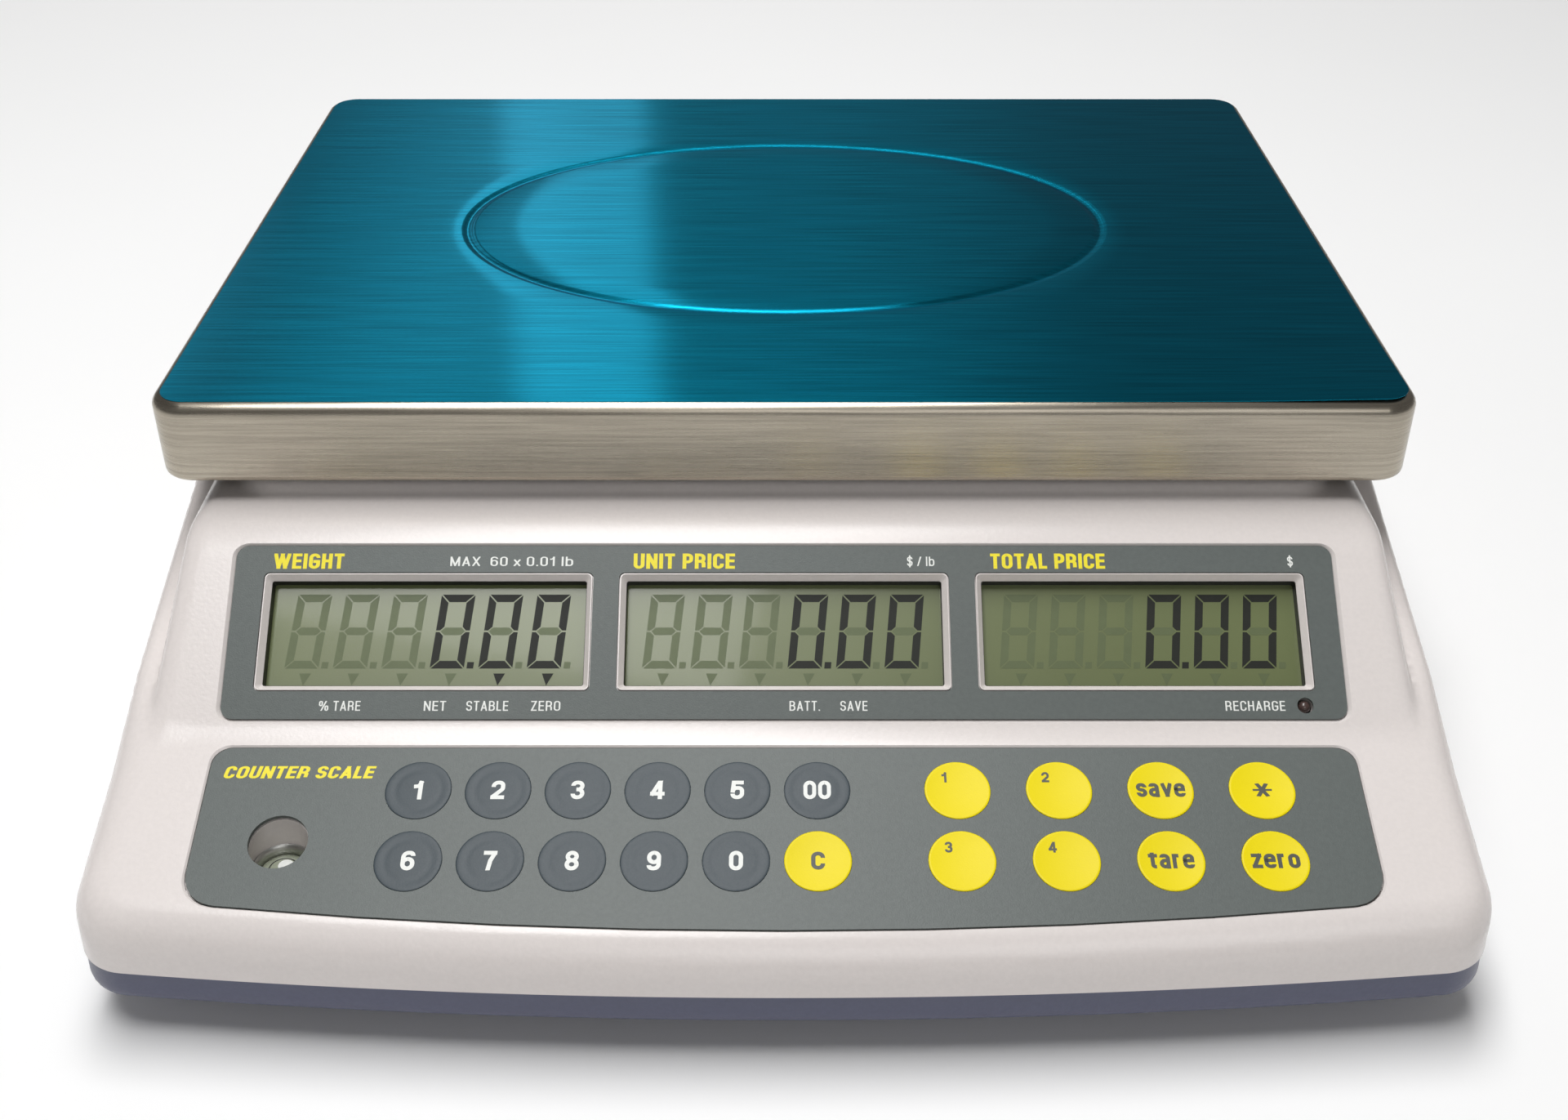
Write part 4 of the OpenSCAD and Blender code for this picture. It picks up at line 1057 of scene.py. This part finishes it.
def foot(name, x, y):
    """A rubber pad and a threaded stud with its nut."""
    place = Matrix.Translation((x, y, 0))
    pad = ring(f"foot_pad_{name}_rubber", [
        (0.01, 0), (12.6, 0), (13.7, 0.35), (14, 1.2), (14, 2.9), (13.5, 3.7), (12.4, 4.0), (9.2, 4.2),
        (8.2, 4.7), (8, 5.4), (7.8, 6.2), (7.3, 6.4), (4.1, 6.4), (4.1, 2.3), (0.01, 2.3),
    ], place)
    dress(pad, RUBBER, f"foot_pad_{name}", [f"foot_pad_{name}"])
    turns = int(19 / THREAD)
    ridge = ((ROOT_R, 0.1), (STUD_R, 0.5), (STUD_R, 0.6))
    thread = [(r, THREAD_Z + THREAD * (k + t)) for k in range(turns) for r, t in ridge]
    shank = [(0, 2.5), (STUD_R, 2.5), (STUD_R, THREAD_Z), *thread, (3.4, 29.2), (0, 29.5)]
    stud = lathe(f"foot_stud_{name}_thread", shank, place, 32)
    nut = [(0, 6.8), (6.4, 6.8), (7, 7.2), (7, 9.4), (6.4, THREAD_Z), (0, THREAD_Z)]
    combine(stud, [lathe("nut", nut, place, 6)], "UNION")
    dress(stud, STEEL, f"foot_stud_{name}", [f"foot_stud_{name}"], 30)


for name, (x, y) in FEET.items():
    foot(name, x, y)


# ---------- Carried-over CAD nodes ----------

def soften(node, width):
    """Small rounded edges on a CAD node, by modifiers."""
    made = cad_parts[node]
    weld = made.modifiers.new("weld", "WELD")
    weld.merge_threshold = 0.00001
    edge = made.modifiers.new("edges", "BEVEL")
    edge.width = width * MM
    edge.segments = 2
    edge.limit_method = "ANGLE"
    edge.angle_limit = math.radians(40)
    edge.harden_normals = True


# Each node's material and the width of its rounded edges
FINISHES = {
    "chassis_plate": (STEEL, 0.3), "load_cell": (ALUMINIUM, 0.3), "load_cell_spacer": (ALUMINIUM, 0.3),
    "load_cell_bolts": (STEEL, 0.2), "spider_bolts": (STEEL, 0.2), "housing_screws": (STEEL, 0.15),
    "load_cell_cable": (JACKET, 0), "spider": (CAST, 0.8), "spider_bumpers": (RUBBER, 0.5),
    **dict.fromkeys(("display_overlay", "rear_overlay", "keypad_overlay"), (PANEL, 0)),
    **dict.fromkeys(("lcd_weight", "lcd_unit_price", "lcd_total_price", "rear_lcds"), (LCD, 0)),
    "display_boards": (BOARD, 0), "main_board": (BOARD, 0), "charge_led": (LAMP, 0),
    "keypad_circuit": (CIRCUIT, 0),
    "battery": (CASE, 0.8), "battery_cover": (BASE, 0.3), "power_switch_body": (BLACK, 0.3),
    "power_rocker": (BLACK, 0.4), "dc_jack": (BLACK, 0.2), "serial_port": (STEEL, 0.2),
}
for node, (material, width) in FINISHES.items():
    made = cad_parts[node]
    made.data.materials.clear()
    made.data.materials.append(material)
    if width:
        soften(node, width)


# ---------- Camera, floor and light ----------

def area_light(name, at, aim, size, watts, roll=0.0):
    """A rectangular lamp that faces a point, turned about its own axis by roll."""
    data = bpy.data.lights.new(name, "AREA")
    data.shape = "RECTANGLE"
    data.size, data.size_y = size
    data.energy = watts
    made = bpy.data.objects.new(name, data)
    bpy.context.scene.collection.objects.link(made)
    made.location = at
    turn = (Vector(aim) - Vector(at)).to_track_quat("-Z", "Y")
    made.rotation_euler = (turn.to_matrix() @ Matrix.Rotation(roll, 3, "Z")).to_euler()


def floor():
    """A plain pale floor, just under the feet."""
    half, z = 6000, -0.2
    corners = [(-half, -half, z), (half, -half, z), (half, half, z), (-half, half, z)]
    made = shell("floor", corners, [(0, 1, 2, 3)])
    made.data.materials.append(look("pale_floor", (246, 246, 246), 0.7, vary=0.01, vary_scale=3))


def studio():
    """Soft light from above and in front, and windows behind the scale."""
    world = bpy.data.worlds.new("studio")
    bpy.context.scene.world = world
    world.use_nodes = True
    background = world.node_tree.nodes["Background"]
    background.inputs["Color"].default_value = (1, 0.985, 0.965, 1)
    background.inputs["Strength"].default_value = 0.15
    area_light("overhead", (-0.2, 0.05, 1.9), (0, 0, 0.05), (1.7, 0.7), 36)
    area_light("front_fill", (0.4, -1.9, 1.3), (0, 0, 0.05), (1.4, 0.9), 6)
    # Windows behind the scale, which the pan's film reflects
    aim = (-0.05, 0.05, 0.1)
    area_light("window_near", (-0.42, 3.0, 1.6), aim, (0.3, 1.3), 1.3)
    area_light("window_middle", (-0.86, 3.0, 1.76), aim, (0.3, 1.2), 1.1, roll=math.radians(-41))
    area_light("window_far", (-1.42, 3.0, 1.6), aim, (0.3, 1.6), 1.0, roll=math.radians(-27))
    bpy.context.scene.view_settings.view_transform = "Standard"


def camera():
    """The view from the operator's side, looking down."""
    look_down = 33.36
    data = bpy.data.cameras.new("camera")
    data.lens = 41.15
    data.sensor_width = 36
    data.clip_start = 0.01
    made = bpy.data.objects.new("camera", data)
    bpy.context.scene.collection.objects.link(made)
    made.location = (0, -0.4415, 0.31475)
    made.rotation_euler = (math.radians(90 - look_down), 0, 0)
    bpy.context.scene.camera = made


floor()
studio()
camera()
